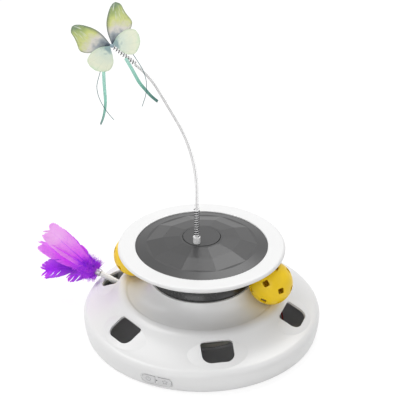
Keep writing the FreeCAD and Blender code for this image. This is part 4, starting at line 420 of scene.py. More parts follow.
dress(black_switch, "button_switches")
wire_cover = plastic("wire_cover", (0.50, 0.03, 0.025), 0.42, shift=0.12, grain=2200.0, bump=0.05)
dress(wire_cover, "motor_leads", "battery_lead", "button_lead")

# %% [markdown]
# A circuit board is green lacquer over copper. The tracks show as slightly raised, lighter lines.
# A brick pattern seen from above, with wide gaps, gives such a maze of straight tracks without any
# picture, and a second one of dots gives the tinned pads.

# %% The boards
board_green, tree, shader = fresh("board_lacquer", 0.32)
place = add(tree, "ShaderNodeTexCoord").outputs["Object"]
tracks = add(tree, "ShaderNodeTexBrick", Vector=place, Scale=260.0, Mortar_Size=0.06,
             Color1=(0.012, 0.10, 0.035, 1), Color2=(0.010, 0.075, 0.030, 1), Mortar=(0.03, 0.19, 0.07, 1))
pads = add(tree, "ShaderNodeTexVoronoi", Vector=place, Scale=420.0)
pad_radius, solder = 0.22, (0.55, 0.56, 0.55, 1)
dots = maths(tree, "LESS_THAN", pads.outputs["Distance"], pad_radius)
fill(tree, shader, Base_Color=blend(tree, dots, tracks.outputs["Color"], solder), Metallic=dots)
emboss(tree, shader, tracks.outputs["Fac"], 0.3, 0.0001)
dress(board_green, "circuit_board", "button_board")

# %% [markdown]
# The balls are bright yellow mouldings, the wand a plain white tube. The buttons are a grey a little
# darker than the shell, with a fine eroded texture that scatters light. The wire is coated white.
# Its two springs are blackened steel. The side of each turn that faces the wire is pale and matt, a
# painted reflection of the white wire inside, so the turns in front look dark and those behind pale.

# %% Balls, wand, panel and wire
ball_yellow = plastic("ball_yellow", (0.95, 0.64, 0.010), 0.36, spread=0.06, shift=0.04, bump=0.012,
                      dusty=0.0, Specular_IOR_Level=0.35)
dress(ball_yellow, "ball_left", "ball_right")
white_tube = plastic("white_tube", (0.80, 0.80, 0.80), 0.30, shift=0.02, Coat_Weight=0.2)
dress(white_tube, "wand_tube")
panel_grey = plastic("panel_grey", (0.74, 0.74, 0.745), 0.30, shift=0.02, dusty=0.0)
dress(panel_grey, "control_panel")
button_grey = plastic("button_grey", (0.68, 0.68, 0.685), 0.42, shift=0.03, grain=2600.0, bump=0.12,
                      dusty=0.0)
dress(button_grey, "button_left", "button_right")
pale_plug = plastic("pale_plug", (0.82, 0.82, 0.82), 0.22, shift=0.03, dusty=0.0, Coat_Weight=0.3)
dress(pale_plug, "wire_plug")
pale_bead = plastic("pale_bead", (0.30, 0.42, 0.48), 0.15, shift=0.2, dusty=0.0, Coat_Weight=0.6)
dress(pale_bead, "butterfly_bead")
coated_wire = plastic("coated_wire", (0.92, 0.92, 0.92), 0.32, shift=0.02, bump=0.0, dusty=0.0)
dress(coated_wire, "lure_wire")
crimped = metal("crimped_ferrule", (0.42, 0.40, 0.42), 0.34, across=1200.0, along=300.0)
dress(crimped, "feather_ferrule")

# %% The two springs
def middle_of(name):
    """The mean of the corners of a node."""
    corners = cad[name].data.vertices
    return sum((corner.co for corner in corners), Vector()) / len(corners)


def blackened_with_painted_reflection(name, axis):
    """Blackened spring wire round an axis through the middle of the node. The side that faces the
    axis is pale and matt, a painted reflection of the white wire inside.
    """
    made = metal(name + "_finish_and_painted_reflection", (0.5, 0.5, 0.5), 0.28, across=2500.0, along=60.0)
    tree = made.node_tree
    place = add(tree, "ShaderNodeTexCoord").outputs
    out = vectors(tree, "SUBTRACT", place["Object"], middle_of(name))
    beside = vectors(tree, "SUBTRACT", out, vectors(tree, "PROJECT", out, axis))
    outwards = vectors(tree, "DOT_PRODUCT", vectors(tree, "NORMALIZE", beside), place["Normal"])
    # Painted reflection: where a face turns towards the axis, the colour goes pale and the metal matt.
    painted_reflection = rescale(tree, outwards, 0.15, -0.25)
    tone = blend(tree, painted_reflection, (0.03, 0.03, 0.032, 1), (0.88, 0.88, 0.89, 1))
    fill(tree, tree.nodes["Principled BSDF"], Base_Color=tone, Metallic=maths(tree, "SUBTRACT", 1.0, painted_reflection))
    dress(made, name)


upwards = Vector((0, 0, 1))
along_wire_end = Vector((-0.0101, -0.0046, 0.0096)).normalized()
blackened_with_painted_reflection("base_spring", upwards)
blackened_with_painted_reflection("tip_spring", along_wire_end)

# %% [markdown]
# A clear sleeve is mostly seen as two grey edges, because a ray that only grazes it passes through
# more of it. Layer Weight gives how far a face turns away, and that sets how much of it shows. The
# bent tube has few sides, so a round normal is worked out for it: the wire lies in one upright plane,
# and the distance from that plane tells how far round the tube a place is. The little lens is plain
# clear plastic, with a tint and a slightly uneven roughness.

# %% The clear pieces
clear_sleeve = plastic("clear_sleeve", (0.30, 0.28, 0.29), 0.20, spread=0.04, shift=0.04, bump=0.0, dusty=0.0)
tube_radius = 0.002
wire_foot = middle_of("base_spring")
sideways = upwards.cross(middle_of("butterfly_bead") - wire_foot).normalized()
middle_plane = wire_foot.dot(sideways)
tree = clear_sleeve.node_tree
place = add(tree, "ShaderNodeTexCoord").outputs
aside = rescale(tree, vectors(tree, "DOT_PRODUCT", place["Object"], sideways), middle_plane - tube_radius,
                middle_plane + tube_radius, -1.0)
upright = vectors(tree, "SUBTRACT", place["Normal"], vectors(tree, "PROJECT", place["Normal"], sideways))
in_plane = maths(tree, "SQRT", maths(tree, "SUBTRACT", 1.0, maths(tree, "MULTIPLY", aside, aside)))
rounded = vectors(tree, "ADD", vectors(tree, "SCALE", vectors(tree, "NORMALIZE", upright), in_plane),
                  vectors(tree, "SCALE", sideways, aside))
world_normal = add(tree, "ShaderNodeVectorTransform", Vector=rounded)
world_normal.vector_type = "NORMAL"
world_normal.convert_from, world_normal.convert_to = "OBJECT", "WORLD"
grazed = add(tree, "ShaderNodeLayerWeight", Blend=0.5, Normal=world_normal.outputs[0])
wall_shows = 0.42
fill(tree, tree.nodes["Principled BSDF"],
     Alpha=rescale(tree, grazed.outputs["Facing"], 0.42, 0.85, 0.0, wall_shows))
dress(clear_sleeve, "wire_sleeve")
clear_lens = plastic("clear_lens", (0.80, 0.92, 0.84), 0.12, spread=0.04, shift=0.03, grain=300.0, dusty=0.0,
                     Transmission_Weight=0.92, IOR=1.49)
dress(clear_lens, "indicator_lens")
print("finishes:", len(bpy.data.materials))

# %% [markdown]
# ## The marks on the buttons
# Each button carries a small raised mark, so that a finger can tell them apart. The left one is a
# ring with a bar, the usual sign for on and off, and the right one is a ring of dots. Both start from
# flat primitives that are laid on the button's face, which curves with the wall of the base.

# %% Build the marks
mark_ink = plastic("mark_ink", (0.36, 0.36, 0.37), 0.5, shift=0.05, grain=2600.0, bump=0.1)
wall_radius, wall_foot_inset = 0.1300, 0.0019
curve_top, curve_height = 0.0170, 0.0158
button_x, button_z, stands_out = 0.0092, 0.0106, 0.00005
ring_radius, dot_radius, line_radius = 0.0026, 0.0007, 0.00028
bar_size, bar_bevel, bar_z = (0.0005, 0.0003, 0.0026), 0.00008, 0.0120
dots, dot_circle = 5, 0.0021


def face_point(x, z):
    """The point of the base's wall over a place on the front."""
    wall = wall_radius - wall_foot_inset * max(0.0, (curve_top - z) / curve_height) ** 2
    return Vector((x, -math.sqrt(wall * wall - x * x) - stands_out, z))


def lay_on_wall(thing, x, z, body):
    """Bend a flat mark that was made in the XZ plane onto the wall, and give it to a button."""
    for vertex in thing.data.vertices:
        rise = vertex.co.y
        spot = face_point(x + vertex.co.x, z + vertex.co.z)
        vertex.co = spot + Vector((0, rise, 0))
    thing.data.update()
    dress(mark_ink, thing)
    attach(thing, body)


def bar(name):
    start_clean()
    bpy.ops.mesh.primitive_cube_add(size=1.0)
    thing = named(name)
    thing.scale = bar_size
    settle(thing)
    edit_all()
    bpy.ops.mesh.bevel(offset=bar_bevel, segments=2)
    bpy.ops.object.mode_set(mode="OBJECT")
    return thing


def ring(name, radius, flatter=0.4):
    start_clean()
    bpy.ops.mesh.primitive_torus_add(major_radius=radius, minor_radius=line_radius, major_segments=48,
                                     minor_segments=10, rotation=(math.radians(90), 0, 0))
    thing = settle(named(name))
    for vertex in thing.data.vertices:
        vertex.co.y *= flatter
    return thing


lay_on_wall(ring("mark_ring", ring_radius), -button_x, button_z, "left_button")
lay_on_wall(bar("mark_bar"), -button_x, bar_z, "left_button")
for i in range(dots):
    turn = math.radians(90 + 360 / dots * i)
    lay_on_wall(ring("mark_dot_%d" % i, dot_radius), button_x + dot_circle * math.cos(turn),
                button_z + dot_circle * math.sin(turn), "right_button")
print("marks laid on both buttons")

# %% [markdown]
# ## The butterfly
# Four wings are cut from thin printed film and meet at a slate blue bead at the end of the wire. A
# wing could be a flat face with a picture on it. Here it is a fan of faces that runs from the root
# to the edge, which lets the film curl a little, and its print comes from nodes that read the wing's
# own flat coordinates: veins spread from the root, the colour changes with the distance from it, and
# the rim is darker.

# %% The wings' outlines
# Each edge starts at the root: x runs out to the side and y towards the head, in millimetres.
FORE_FRONT = [(0.7, 1.9), (2.9, 13.3), (7.2, 22.5), (14.5, 30.4), (21.0, 34.4), (25.2, 34.6)]
FORE_BACK = [(2.4, 0.9), (9.0, 1.6), (17.0, 2.6), (24.6, 5.2), (29.3, 9.5), (30.0, 13.5), (29.0, 18.0),
             (28.5, 24.0), (28.6, 30.5), (25.2, 34.6)]
HIND_FRONT = [(1.8, 0.8), (9.0, 4.4), (16.0, 5.6), (23.0, 4.6), (28.4, 0.8), (29.2, -5.0)]
HIND_BACK = [(3.0, -3.0), (5.0, -9.0), (8.6, -15.2), (15.2, -18.4), (21.6, -16.0), (26.7, -11.5),
             (29.2, -5.0)]
bead = mm(-76.54, -43.53, 333.56)
wings_lean_back, wings_turn, wing_rises = 70, 29, 14
flat_map, wing_span = 40.0, 45.0
film_thickness, film_above_bead = 0.00018, 0.25


def along(points, share):
    """A point on a smooth line through the points, at a share of its length."""
    line = [Vector((x, y, 0)) for x, y in points]
    steps = [(b - a).length for a, b in zip(line, line[1:])]
    reach = share * sum(steps)
    for i, step in enumerate(steps):
        if reach <= step or i == len(steps) - 1:
            t = min(1.0, reach / step)
            before = line[i - 1] if i else line[0] * 2 - line[1]
            after = line[i + 2] if i + 2 < len(line) else line[-1] * 2 - line[-2]
            a, b = line[i], line[i + 1]
            return 0.5 * ((2 * a) + (b - before) * t + (2 * before - 5 * a + 4 * b - after) * t * t
                          + (3 * a - before - 3 * b + after) * t ** 3)
        reach -= step


def wing_frame(side, depth):
    """From the wing's flat coordinates to its place on the bead."""
    turn = turned(photo_azimuth, "Z") @ turned(wings_lean_back, "X")
    lift = Matrix.Translation((0, 0, depth)) @ turned(-side * wing_rises, "Y")
    return Matrix.Translation(bead) @ turn @ turned(wings_turn, "Z") @ lift


# %% A helper that shapes one wing from a grid
def wing(name, side, front, back, swing, depth, paint):
    start_clean()
    rows, columns = 28, 22
    bpy.ops.mesh.primitive_grid_add(x_subdivisions=rows, y_subdivisions=columns, size=1.0)
    thing = named(name)
    mesh = thing.data
    flat = mesh.uv_layers.new(name="wing")
    rim = mesh.attributes.new("rim", "FLOAT", "POINT")
    lead = mesh.attributes.new("lead", "FLOAT", "POINT")
    spots = []
    steps, near_root = 60, 6
    outer = [along(edge, i / steps) for edge in (front, back) for i in range(near_root, steps + 1)]
    for vertex in mesh.vertices:
        u, v = vertex.co.x + 0.5, vertex.co.y + 0.5
        spot = along(front, u).lerp(along(back, u), v)
        near = min((spot - p).length for p in outer)
        rim.data[vertex.index].value = near
        lead.data[vertex.index].value = 1.0 - v
        spots.append(spot)
    for loop in mesh.loops:
        spot = spots[loop.vertex_index]
        flat.data[loop.index].uv = (spot.x / flat_map, spot.y / flat_map)
    onto_bead = wing_frame(side, depth / 1000.0)
    swung = turned(swing, "Z")
    curl_height, ripple = 0.9, 0.18
    for vertex, spot in zip(mesh.vertices, spots):
        far = spot.length / wing_span
        curl = curl_height * far * far * math.sin(spot.x * 0.16 + spot.y * 0.10)
        height = film_above_bead + (curl + ripple * noise.noise(spot * 0.25))
        laid = swung @ Vector((spot.x * side, spot.y, 0)) + Vector((0, 0, height))
        vertex.co = onto_bead @ (laid / 1000.0)
    edit_all()
    bpy.ops.mesh.remove_doubles(threshold=0.00002)
    bpy.ops.mesh.normals_make_consistent(inside=False)
    bpy.ops.object.mode_set(mode="OBJECT")
    film = thing.modifiers.new("film", "SOLIDIFY")
    film.thickness = film_thickness
    film.offset = 0.0
    settle(thing, "film")
    bpy.ops.object.shade_smooth()
    dress(paint, thing)
    return thing


# %% [markdown]
# The print of the wings is all nodes. Around the root, an angle taken from the flat coordinates gives
# the fan of veins, and a cell pattern gives the soft patches between them. The colour follows the
# distance from the root, shifted near the leading edge, and the stored distance to the rim
# darkens the edge. Pale streaks over the print are painted highlights, where the film would catch the
# light. The two pairs of wings share the function and differ in their colours.

# %% The print
def wing_print(name, root, colours, edge, vein, vein_count, ahead, dark_front, rim_share):
    """Film printed from the root outwards with these (distance, colour) steps, with painted highlight streaks
    over the print.
    """
    made, tree, shader = fresh(name)
    flat = add(tree, "ShaderNodeUVMap")
    flat.uv_map = "wing"
    flat = flat.outputs[0]
    centred = vectors(tree, "SUBTRACT", flat, (root[0] / flat_map, root[1] / flat_map, 0))
    cloudy = add(tree, "ShaderNodeTexNoise", Vector=flat, Scale=7.0, Detail=4.0).outputs
    wavy = vectors(tree, "MULTIPLY_ADD", cloudy["Color"], (0.05, 0.05, 0), centred)
    axes = add(tree, "ShaderNodeSeparateXYZ", Vector=wavy).outputs
    angle = maths(tree, "ARCTAN2", axes["Y"], axes["X"])
    wave = maths(tree, "SINE", maths(tree, "MULTIPLY", angle, vein_count))
    veins = rescale(tree, maths(tree, "ABSOLUTE", wave), 0.0, 0.16, 1.0, 0.0)
    reach = vectors(tree, "LENGTH", centred)
    leading = add(tree, "ShaderNodeAttribute")
    leading.attribute_name = "lead"
    leading = leading.outputs["Fac"]
    stored = add(tree, "ShaderNodeAttribute")
    stored.attribute_name = "rim"

    # The wash by distance, then pale patches, veins, a ragged rim and a dark leading edge over it.
    mottled = maths(tree, "MULTIPLY_ADD", cloudy[0], 0.34, reach)
    forward = maths(tree, "MULTIPLY_ADD", leading, ahead, mottled)
    washed = ramp(tree, rescale(tree, forward, 0.17, 1.37), colours)
    patches = add(tree, "ShaderNodeTexVoronoi", Vector=flat, Scale=9.0)
    patches.feature = "SMOOTH_F1"
    soft = rescale(tree, patches.outputs["Distance"], 0.1, 0.6, 0.16, 0.0)
    pale = blend(tree, soft, washed, (0.78, 0.84, 0.66, 1))
    veined = blend(tree, maths(tree, "MULTIPLY", veins, 0.30), pale, (*vein, 1))
    ragged = maths(tree, "MULTIPLY_ADD", cloudy[0], -1.6, stored.outputs["Fac"])
    edged = blend(tree, rescale(tree, ragged, -0.6, 1.0, rim_share, 0.0), veined, (*edge, 1))
    front_line = rescale(tree, leading, 0.86, 1.0, 0.0, dark_front)
    fading = rescale(tree, reach, 0.25, 0.95, 1.0, 0.25)
    lined = blend(tree, maths(tree, "MULTIPLY", front_line, fading), edged, (0.05, 0.07, 0.09, 1))

    # Painted highlights: streaks are clouds drawn out along the way from the root to the rim, mixed in pale.
    run = add(tree, "ShaderNodeCombineXYZ", X=leading, Y=reach)
    drawn_out = vectors(tree, "MULTIPLY", run.outputs[0], (7.0, 2.4, 1.0))
    painted_highlight_clouds = rescale(tree, clouds(tree, drawn_out, 1.6, 3.0), 0.54, 0.68, 0.0, 0.75)
    streaks = maths(tree, "MULTIPLY", painted_highlight_clouds, rescale(tree, reach, 0.45, 0.75))
    with_painted_highlights = blend(tree, streaks, lined, (0.86, 0.90, 0.78, 1))
    fill(tree, shader, Base_Color=with_painted_highlights, Sheen_Weight=0.25)
    emboss(tree, shader, veins, 0.25, 0.0002)
    return made


fore_colours = [(0.17, (0.035, 0.06, 0.09)), (0.33, (0.34, 0.38, 0.42)), (0.46, (0.78, 0.74, 0.68)),
                (0.62, (0.70, 0.74, 0.26)), (0.78, (0.46, 0.56, 0.18)), (0.94, (0.20, 0.30, 0.16))]
hind_colours = [(0.04, (0.28, 0.42, 0.44)), (0.13, (0.76, 0.86, 0.74)), (0.42, (0.92, 0.95, 0.74)),
                (0.60, (0.66, 0.88, 0.64))]
fore_print_and_highlights = wing_print("fore_wing_print_and_highlights", (1.8, 2.4), fore_colours, edge=(0.12, 0.18, 0.12),
                        vein=(0.36, 0.40, 0.30), vein_count=11.0, ahead=0.30, dark_front=0.80, rim_share=0.60)
hind_print_and_highlights = wing_print("hind_wing_print_and_highlights", (2.4, -1.4), hind_colours, edge=(0.54, 0.74, 0.50),
                        vein=(0.64, 0.74, 0.56), vein_count=9.0, ahead=-0.10, dark_front=0.10, rim_share=0.35)

# %% Build the four wings
wings = {}
for pair, *shape in (("fore", FORE_FRONT, FORE_BACK, 0.0, 0.6, fore_print_and_highlights),
                     ("hind", HIND_FRONT, HIND_BACK, 4.0, 1.25, hind_print_and_highlights)):
    for side, ending in ((-1, "left"), (1, "right")):
        node = pair + "wing_" + ending
        wings[node] = wing(node + "_film", side, *shape)
for node, film in wings.items():
    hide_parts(node)
    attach(film, "wire")

# %% [markdown]
# ## Ribbons and threads
# Two narrow ribbons and two thin threads hang from the hind wings. Each is a limp cord that follows
# one smooth NURBS line. The points are those of the CAD model: how far each lies towards the
# wire's lean, how far in front of the bead and how high above it, in millimetres. Only the first
# points lie a little higher, where the CAD tubes stop short of the wings that they are glued to.

# %% The lines they hang in
lean = heading(photo_azimuth - 90, 0)
front = heading(photo_azimuth, 0)
HANGING = {
    "ribbon_left": [(8.3, 10.2, -22.6), (8.2, 12.2, -35.3), (7.6, 12.4, -46.0), (7.5, 12.3, -56.9),
                    (9.4, 12.0, -67.8), (11.7, 11.6, -75.5), (13.6, 11.2, -79.4)],
    "ribbon_right": [(-13.4, 8.6, -9.6), (-18.9, 9.0, -20.0), (-22.6, 9.2, -27.8), (-26.3, 9.4, -35.3),
                     (-32.1, 9.2, -42.8), (-37.9, 9.0, -50.4), (-43.8, 9.0, -55.3)],
    "thread_left": [(11.2, 10.6, -21.8), (15.1, 13.4, -33.4), (15.4, 13.8, -41.0), (13.7, 14.0, -49.0),
                    (10.1, 14.4, -57.5), (5.3, 14.6, -65.6), (-0.4, 14.6, -72.8)],
    "thread_right": [(-20.2, 6.6, -5.6), (-27.8, 10.4, -16.2), (-31.5, 11.2, -24.7), (-33.3, 11.4, -33.2),
                     (-33.1, 11.4, -41.7), (-31.5, 11.4, -50.5), (-28.2, 11.2, -59.6)],
}


def hanging_points(name):
    """Places along the smooth line of one cord, from the mesh that Blender makes of the curve."""
    start_clean()
    curve = bpy.data.curves.new(name, "CURVE")
    curve.dimensions = "3D"
    spline = curve.splines.new("NURBS")
    points = [bead + lean * (a / 1000) + front * (b / 1000) + mm(0, 0, c) for a, b, c in HANGING[name]]
    spline.points.add(len(points) - 1)
    for point, spot in zip(spline.points, points):
        point.co = (*spot, 1.0)
    spline.order_u = 3
    spline.use_endpoint_u = True
    spline.resolution_u = 16
    thing = bpy.data.objects.new(name + "_line", curve)
    bpy.context.scene.collection.objects.link(thing)
    bpy.context.view_layer.update()
    seen = thing.evaluated_get(bpy.context.evaluated_depsgraph_get())
    mesh = bpy.data.meshes.new_from_object(seen)
    spots = [v.co.copy() for v in mesh.vertices]
    bpy.data.meshes.remove(mesh)
    bpy.data.objects.remove(thing)
    return spots


def length_of(spots):
    return sum((b - a).length for a, b in zip(spots, spots[1:]))


# %% [markdown]
# A ribbon is a flat strip that turns a little as it hangs. A grid is laid along the line: its long
# way follows the line, its short way is the ribbon's width, and its middle lies a little behind its
# edges. The colour runs from mint at the wing to dark teal at the loose end.

# %% Satin for the ribbons
satin, tree, shader = fresh("ribbon_satin")
run = add(tree, "ShaderNodeUVMap")
run.uv_map = "run"
axes = add(tree, "ShaderNodeSeparateXYZ", Vector=run.outputs[0]).outputs
mint_to_teal = [(0.0, (0.56, 0.98, 0.84)), (0.45, (0.34, 0.80, 0.64)), (1.0, (0.04, 0.17, 0.15))]
fading = ramp(tree, axes["X"], mint_to_teal)
weft_turns, warp_turns = 900.0, 110.0
weft = maths(tree, "SINE", maths(tree, "MULTIPLY", axes["X"], weft_turns))
warp = maths(tree, "SINE", maths(tree, "MULTIPLY", axes["Y"], warp_turns))
weave = maths(tree, "MULTIPLY", weft, warp)
fill(tree, shader, Base_Color=vectors(tree, "SCALE", fading, rescale(tree, weave, -1.0, 1.0, 0.75, 1.0)),
     Roughness=rescale(tree, weave, -1.0, 1.0, 0.55, 0.35), Sheen_Weight=0.5, Anisotropic=0.4)
emboss(tree, shader, weave, 0.35, 0.0001)

# %% Build the ribbons
ribbon_width, ribbon_cup, ribbon_thickness = 0.0034, 0.00035, 0.00022


def ribbon(name, twist):
    spots = hanging_points(name)
    last, lanes = len(spots) - 1, 6
    bpy.ops.mesh.primitive_grid_add(x_subdivisions=last, y_subdivisions=lanes, size=1.0)
    thing = named(name + "_satin")
    mesh = thing.data
    run_map = mesh.uv_layers.new(name="run")
    for vertex in mesh.vertices:
        u, v = vertex.co.x + 0.5, vertex.co.y
        i = min(last, round(u * last))
        way = (spots[min(i + 1, last)] - spots[max(i - 1, 0)]).normalized()
        rolled = Matrix.Rotation(math.radians(twist * u), 3, way)
        side = rolled @ way.cross(front).normalized()
        cup = rolled @ front * (ribbon_cup * (4 * v * v - 1))
        vertex.co = spots[i] + side * (v * ribbon_width) + cup
    for loop in mesh.loops:
        k = loop.vertex_index
        run_map.data[loop.index].uv = ((k % len(spots)) / last, (k // len(spots)) / lanes)
    cloth = thing.modifiers.new("cloth", "SOLIDIFY")
    cloth.thickness = ribbon_thickness
    cloth.use_rim = True
    settle(thing, "cloth")
    bpy.ops.object.shade_smooth()
    dress(satin, thing)
    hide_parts(name)
    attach(thing, "wire")
    print(thing.name, "length", round(length_of(spots) * 1000, 1), "mm")


ribbon("ribbon_left", twist=68)
ribbon("ribbon_right", twist=-55)

# %% [markdown]
# A thread is two plies twisted round each other. Two grids are rolled up into thin tubes that wind
# round the hanging line half a turn apart, which shows as a fine rope when seen close.

# %% Build the threads
twine = plastic("thread_twine", (0.035, 0.16, 0.17), 0.7, spread=0.1, shift=0.25, grain=3000.0, bump=0.2,
                dusty=0.0, Sheen_Weight=0.4)
ply_radius, ply_offset, ply_turn = 0.00021, 0.00019, 0.0022


def thread(name):
    spots = hanging_points(name)
    reach = [0.0]
    for a, b in zip(spots, spots[1:]):
        reach.append(reach[-1] + (b - a).length)
    rounds, sides = 200, 6
    plies = []
    for ply in range(2):
        start_clean()
        bpy.ops.mesh.primitive_grid_add(x_subdivisions=rounds, y_subdivisions=sides, size=1.0)
        tube = named(name + "_ply_%d" % ply)
        for vertex in tube.data.vertices:
            far = (vertex.co.x + 0.5) * reach[-1]
            i = min(max(k for k in range(len(reach)) if reach[k] <= far + 1e-9), len(spots) - 2)
            way = (spots[i + 1] - spots[i]).normalized()
            centre = spots[i] + way * (far - reach[i])
            across = way.cross(front).normalized()
            other = way.cross(across)
            turn = far / ply_turn * 2 * math.pi + ply * math.pi
            core = centre + (across * math.cos(turn) + other * math.sin(turn)) * ply_offset
            roll = (vertex.co.y + 0.5) * 2 * math.pi
            vertex.co = core + (across * math.cos(roll) + other * math.sin(roll)) * ply_radius
        edit_all()
        bpy.ops.mesh.remove_doubles(threshold=0.00001)
        bpy.ops.mesh.fill_holes(sides=sides)
        bpy.ops.object.mode_set(mode="OBJECT")
        plies.append(tube)
    start_clean()
    for tube in plies:
        tube.select_set(True)
    bpy.context.view_layer.objects.active = plies[0]
    bpy.ops.object.join()
    thing = named(name + "_twine")
    edit_all()
    bpy.ops.mesh.normals_make_consistent(inside=False)
    bpy.ops.object.mode_set(mode="OBJECT")
    bpy.ops.object.shade_smooth()
    dress(twine, thing)
    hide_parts(name)
    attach(thing, "wire")
    print(thing.name, "length", round(length_of(spots) * 1000, 1), "mm")


thread("thread_left")
thread("thread_right")

# %% [markdown]
# ## The feathers
# Seven dyed feathers lie over each other in a loose bunch at the end of the wand. A feather could be a
# flat leaf with a picture, but its soft edge would be lost. Here each one is a shaft with 230 narrow
# barbs on either side, which lean towards the tip and lie so close that they read as one vane, parted
# here and there. Towards the foot the barbs turn to down, which hides the ferrule. Such a shape is
# quicker and better made from computed points than from edit-mode steps, so one barb is worked out
# in code and repeated.

# %% The feathers' colours
plume_dye, tree, shader = fresh("plume_dye", 0.6)
run = add(tree, "ShaderNodeUVMap")
run.uv_map = "plume"
axes = add(tree, "ShaderNodeSeparateXYZ", Vector=run.outputs[0]).outputs
place = add(tree, "ShaderNodeTexCoord").outputs["Object"]
shifted = maths(tree, "MULTIPLY_ADD", clouds(tree, place, 70.0, 4.0), 0.24, axes["X"])
violets = [(0.12, (0.20, 0.008, 0.58)), (0.36, (0.42, 0.020, 0.90)), (0.60, (0.80, 0.060, 1.0)),
           (0.84, (0.90, 0.26, 1.0)), (1.0, (0.98, 0.52, 1.0))]
dyed = ramp(tree, shifted, violets)
streaks = rescale(tree, clouds(tree, place, 600.0, 2.0), 0.3, 0.7, 0.88, 1.06)
edge_light = maths(tree, "MULTIPLY", axes["Y"], 0.22)
paler = blend(tree, edge_light, vectors(tree, "SCALE", dyed, streaks), (0.92, 0.34, 1.0, 1))
# A painted glow: the dyed colour is also emitted a little, to stand in for light shining through the thin
# barbs.
painted_glow = 0.08
fill(tree, shader, Base_Color=paler, Emission_Color=paler, Emission_Strength=painted_glow, Sheen_Weight=0.12,
     Specular_IOR_Level=0.2)
emboss(tree, shader, clouds(tree, place, 2400.0, 1.0), 0.3, 0.0001)

# %% One barb after another
# Length and width in mm, elevation, splay and roll in degrees, then tone, curl and how much it parts.
PLUMES = [
    (70.0, 24.0, 38.0, 4.0, 30.0, 0.30, 0.02, 0.06), (68.0, 20.0, 24.0, 8.0, -10.0, 0.02, -0.02, 0.12),
    (57.0, 28.0, 26.0, -7.0, 34.0, 0.02, 0.05, 0.08), (50.0, 28.0, 12.0, -2.0, 12.0, -0.06, -0.04, 0.12),
    (57.0, 22.0, 9.0, 3.0, 30.0, -0.42, -0.30, 0.80), (34.0, 23.0, -12.0, -6.0, 8.0, -0.34, -0.10, 0.55),
    (27.0, 20.0, 38.0, -8.0, 26.0, -0.16, 0.02, 0.08),
]
wand_rise, socket, wand_reach = math.radians(19), mm(-84.0, 0, 22.3), 0.0465
wand_way = Vector((-math.cos(wand_rise), 0, math.sin(wand_rise)))
plume_foot = socket + wand_way * wand_reach
barbs, clinging, strands = 230, 17, 330
shaft_width, barb_width, down_width = 0.0009, 0.00085, 0.00060
shaft_points, barb_points = 17, 6


def strip(points, widths, across, tones, store):
    """Add a narrow band along the points to the lists of points, faces and tones."""
    verts, faces, marks = store
    first = len(verts)
    for point, width, tone in zip(points, widths, tones):
        verts += [point - across * width / 2, point + across * width / 2]
        marks += [tone, tone]
    for i in range(len(points) - 1):
        k = first + 2 * i
        faces.append((k, k + 1, k + 3, k + 2))


def vane_reach(t):
    """Half of a feather's width along its shaft: narrow in the down, full, then a round tip."""
    return (0.45 + 0.55 * min(1.0, t / 0.42)) * math.sqrt(max(0.0, 1.0 - max(0.0, (t - 0.66) / 0.34) ** 2))


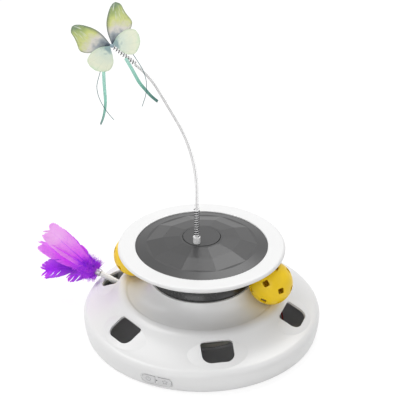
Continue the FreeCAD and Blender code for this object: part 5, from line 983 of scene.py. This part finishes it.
def plume(index, length, width, elevation, splay, roll, tone, curl, parted):
    """One feather along +X with its vane in the XZ plane, then laid at its angles on the ferrule."""
    dice = random.Random(40 + index)
    length, half = length / 1000, width / 2000
    store = ([], [], [])

    def shaft(t):
        return Vector((length * t, 0.03 * length * math.sin(2.5 * t + index), curl * length * t * t))

    steps = range(shaft_points)
    rings = [shaft(0.97 * i / (shaft_points - 1)) for i in steps]
    thick = [shaft_width * (1 - 0.85 * i / (shaft_points - 1)) for i in steps]
    for lie in (Vector((0, 0, 1)), Vector((0, 1, 0)), Vector((0, 0.7, 0.7)), Vector((0, -0.7, 0.7))):
        strip(rings, thick, lie, [(0.12 + 0.02 * i, 0.0) for i in steps], store)
    for side in (-1, 1):
        slip = 0.0
        for i in range(barbs):
            t = 0.03 + 0.96 * i / (barbs - 1)
            if i % clinging == 0:
                slip = dice.uniform(-0.5, 0.5) if dice.random() < parted else dice.uniform(-0.04, 0.04)
            soft = max(0.0, 1.0 - t / 0.30)
            reach = half * vane_reach(t) * dice.uniform(0.95 - 0.3 * soft, 1.03 + 0.25 * soft)
            ahead = 0.80 + 0.45 * t + slip + dice.uniform(-1, 1) * (0.02 + 0.5 * soft)
            lift = dice.uniform(-1, 1) * (0.0003 + 0.005 * soft)
            root, tilt = shaft(t), Matrix.Rotation(-math.atan(2 * curl * t), 3, "Y")
            points, widths, tones = [], [], []
            for k in range(barb_points):
                s = k / (barb_points - 1)
                onward = reach * ahead * (0.55 * s + 0.45 * s * s)
                raised = lift * s * 2 + 0.0030 * s * s
                points.append(root + tilt @ Vector((onward, raised, side * reach * s)))
                widths.append((barb_width - 0.00035 * soft) * (1 - 0.5 * s * s))
                shade = 0.06 + tone + 0.62 * t + 0.16 * s
                tones.append((min(1.0, max(0.02, shade)), s * s))
            across = tilt @ Vector((1.0, 0.08 * dice.uniform(-1, 1), -side * ahead)).normalized()
            strip(points, widths, across, tones, store)
    for i in range(strands):
        turn = dice.uniform(0, 2 * math.pi)
        reach = dice.uniform(0.007, 0.0145)
        bent = dice.uniform(-1.2, 1.2)
        root = shaft(dice.uniform(-0.01, 0.24))
        onward = dice.uniform(-0.25, 0.8) * reach
        steps, last = range(barb_points), barb_points - 1
        points = [root + Vector((onward * k / last, reach * k / last * math.cos(turn + bent * k / last),
                                 reach * k / last * math.sin(turn + bent * k / last))) for k in steps]
        strip(points, [down_width * (1 - 0.12 * k) for k in steps], Vector((0.6, 0.6, 0.5)),
              [(0.10 + 0.05 * k, 0.08 * k) for k in steps], store)
    verts, faces, marks = store
    mesh = bpy.data.meshes.new("plume_%d" % index)
    mesh.from_pydata([tuple(v) for v in verts], [], faces)
    tones = mesh.uv_layers.new(name="plume")
    for loop in mesh.loops:
        tones.data[loop.index].uv = marks[loop.vertex_index]
    lying = Matrix.Translation(plume_foot) @ turned(180 + splay, "Z") @ turned(-elevation, "Y")
    mesh.transform(lying @ turned(roll, "X"))
    thing = bpy.data.objects.new("plume_%d" % index, mesh)
    bpy.context.scene.collection.objects.link(thing)
    for polygon in mesh.polygons:
        polygon.use_smooth = True
    dress(plume_dye, thing)
    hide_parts("feather_plumes")
    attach(thing, "wand")
    return len(faces)


print("feather faces:", [plume(i, *row) for i, row in enumerate(PLUMES)])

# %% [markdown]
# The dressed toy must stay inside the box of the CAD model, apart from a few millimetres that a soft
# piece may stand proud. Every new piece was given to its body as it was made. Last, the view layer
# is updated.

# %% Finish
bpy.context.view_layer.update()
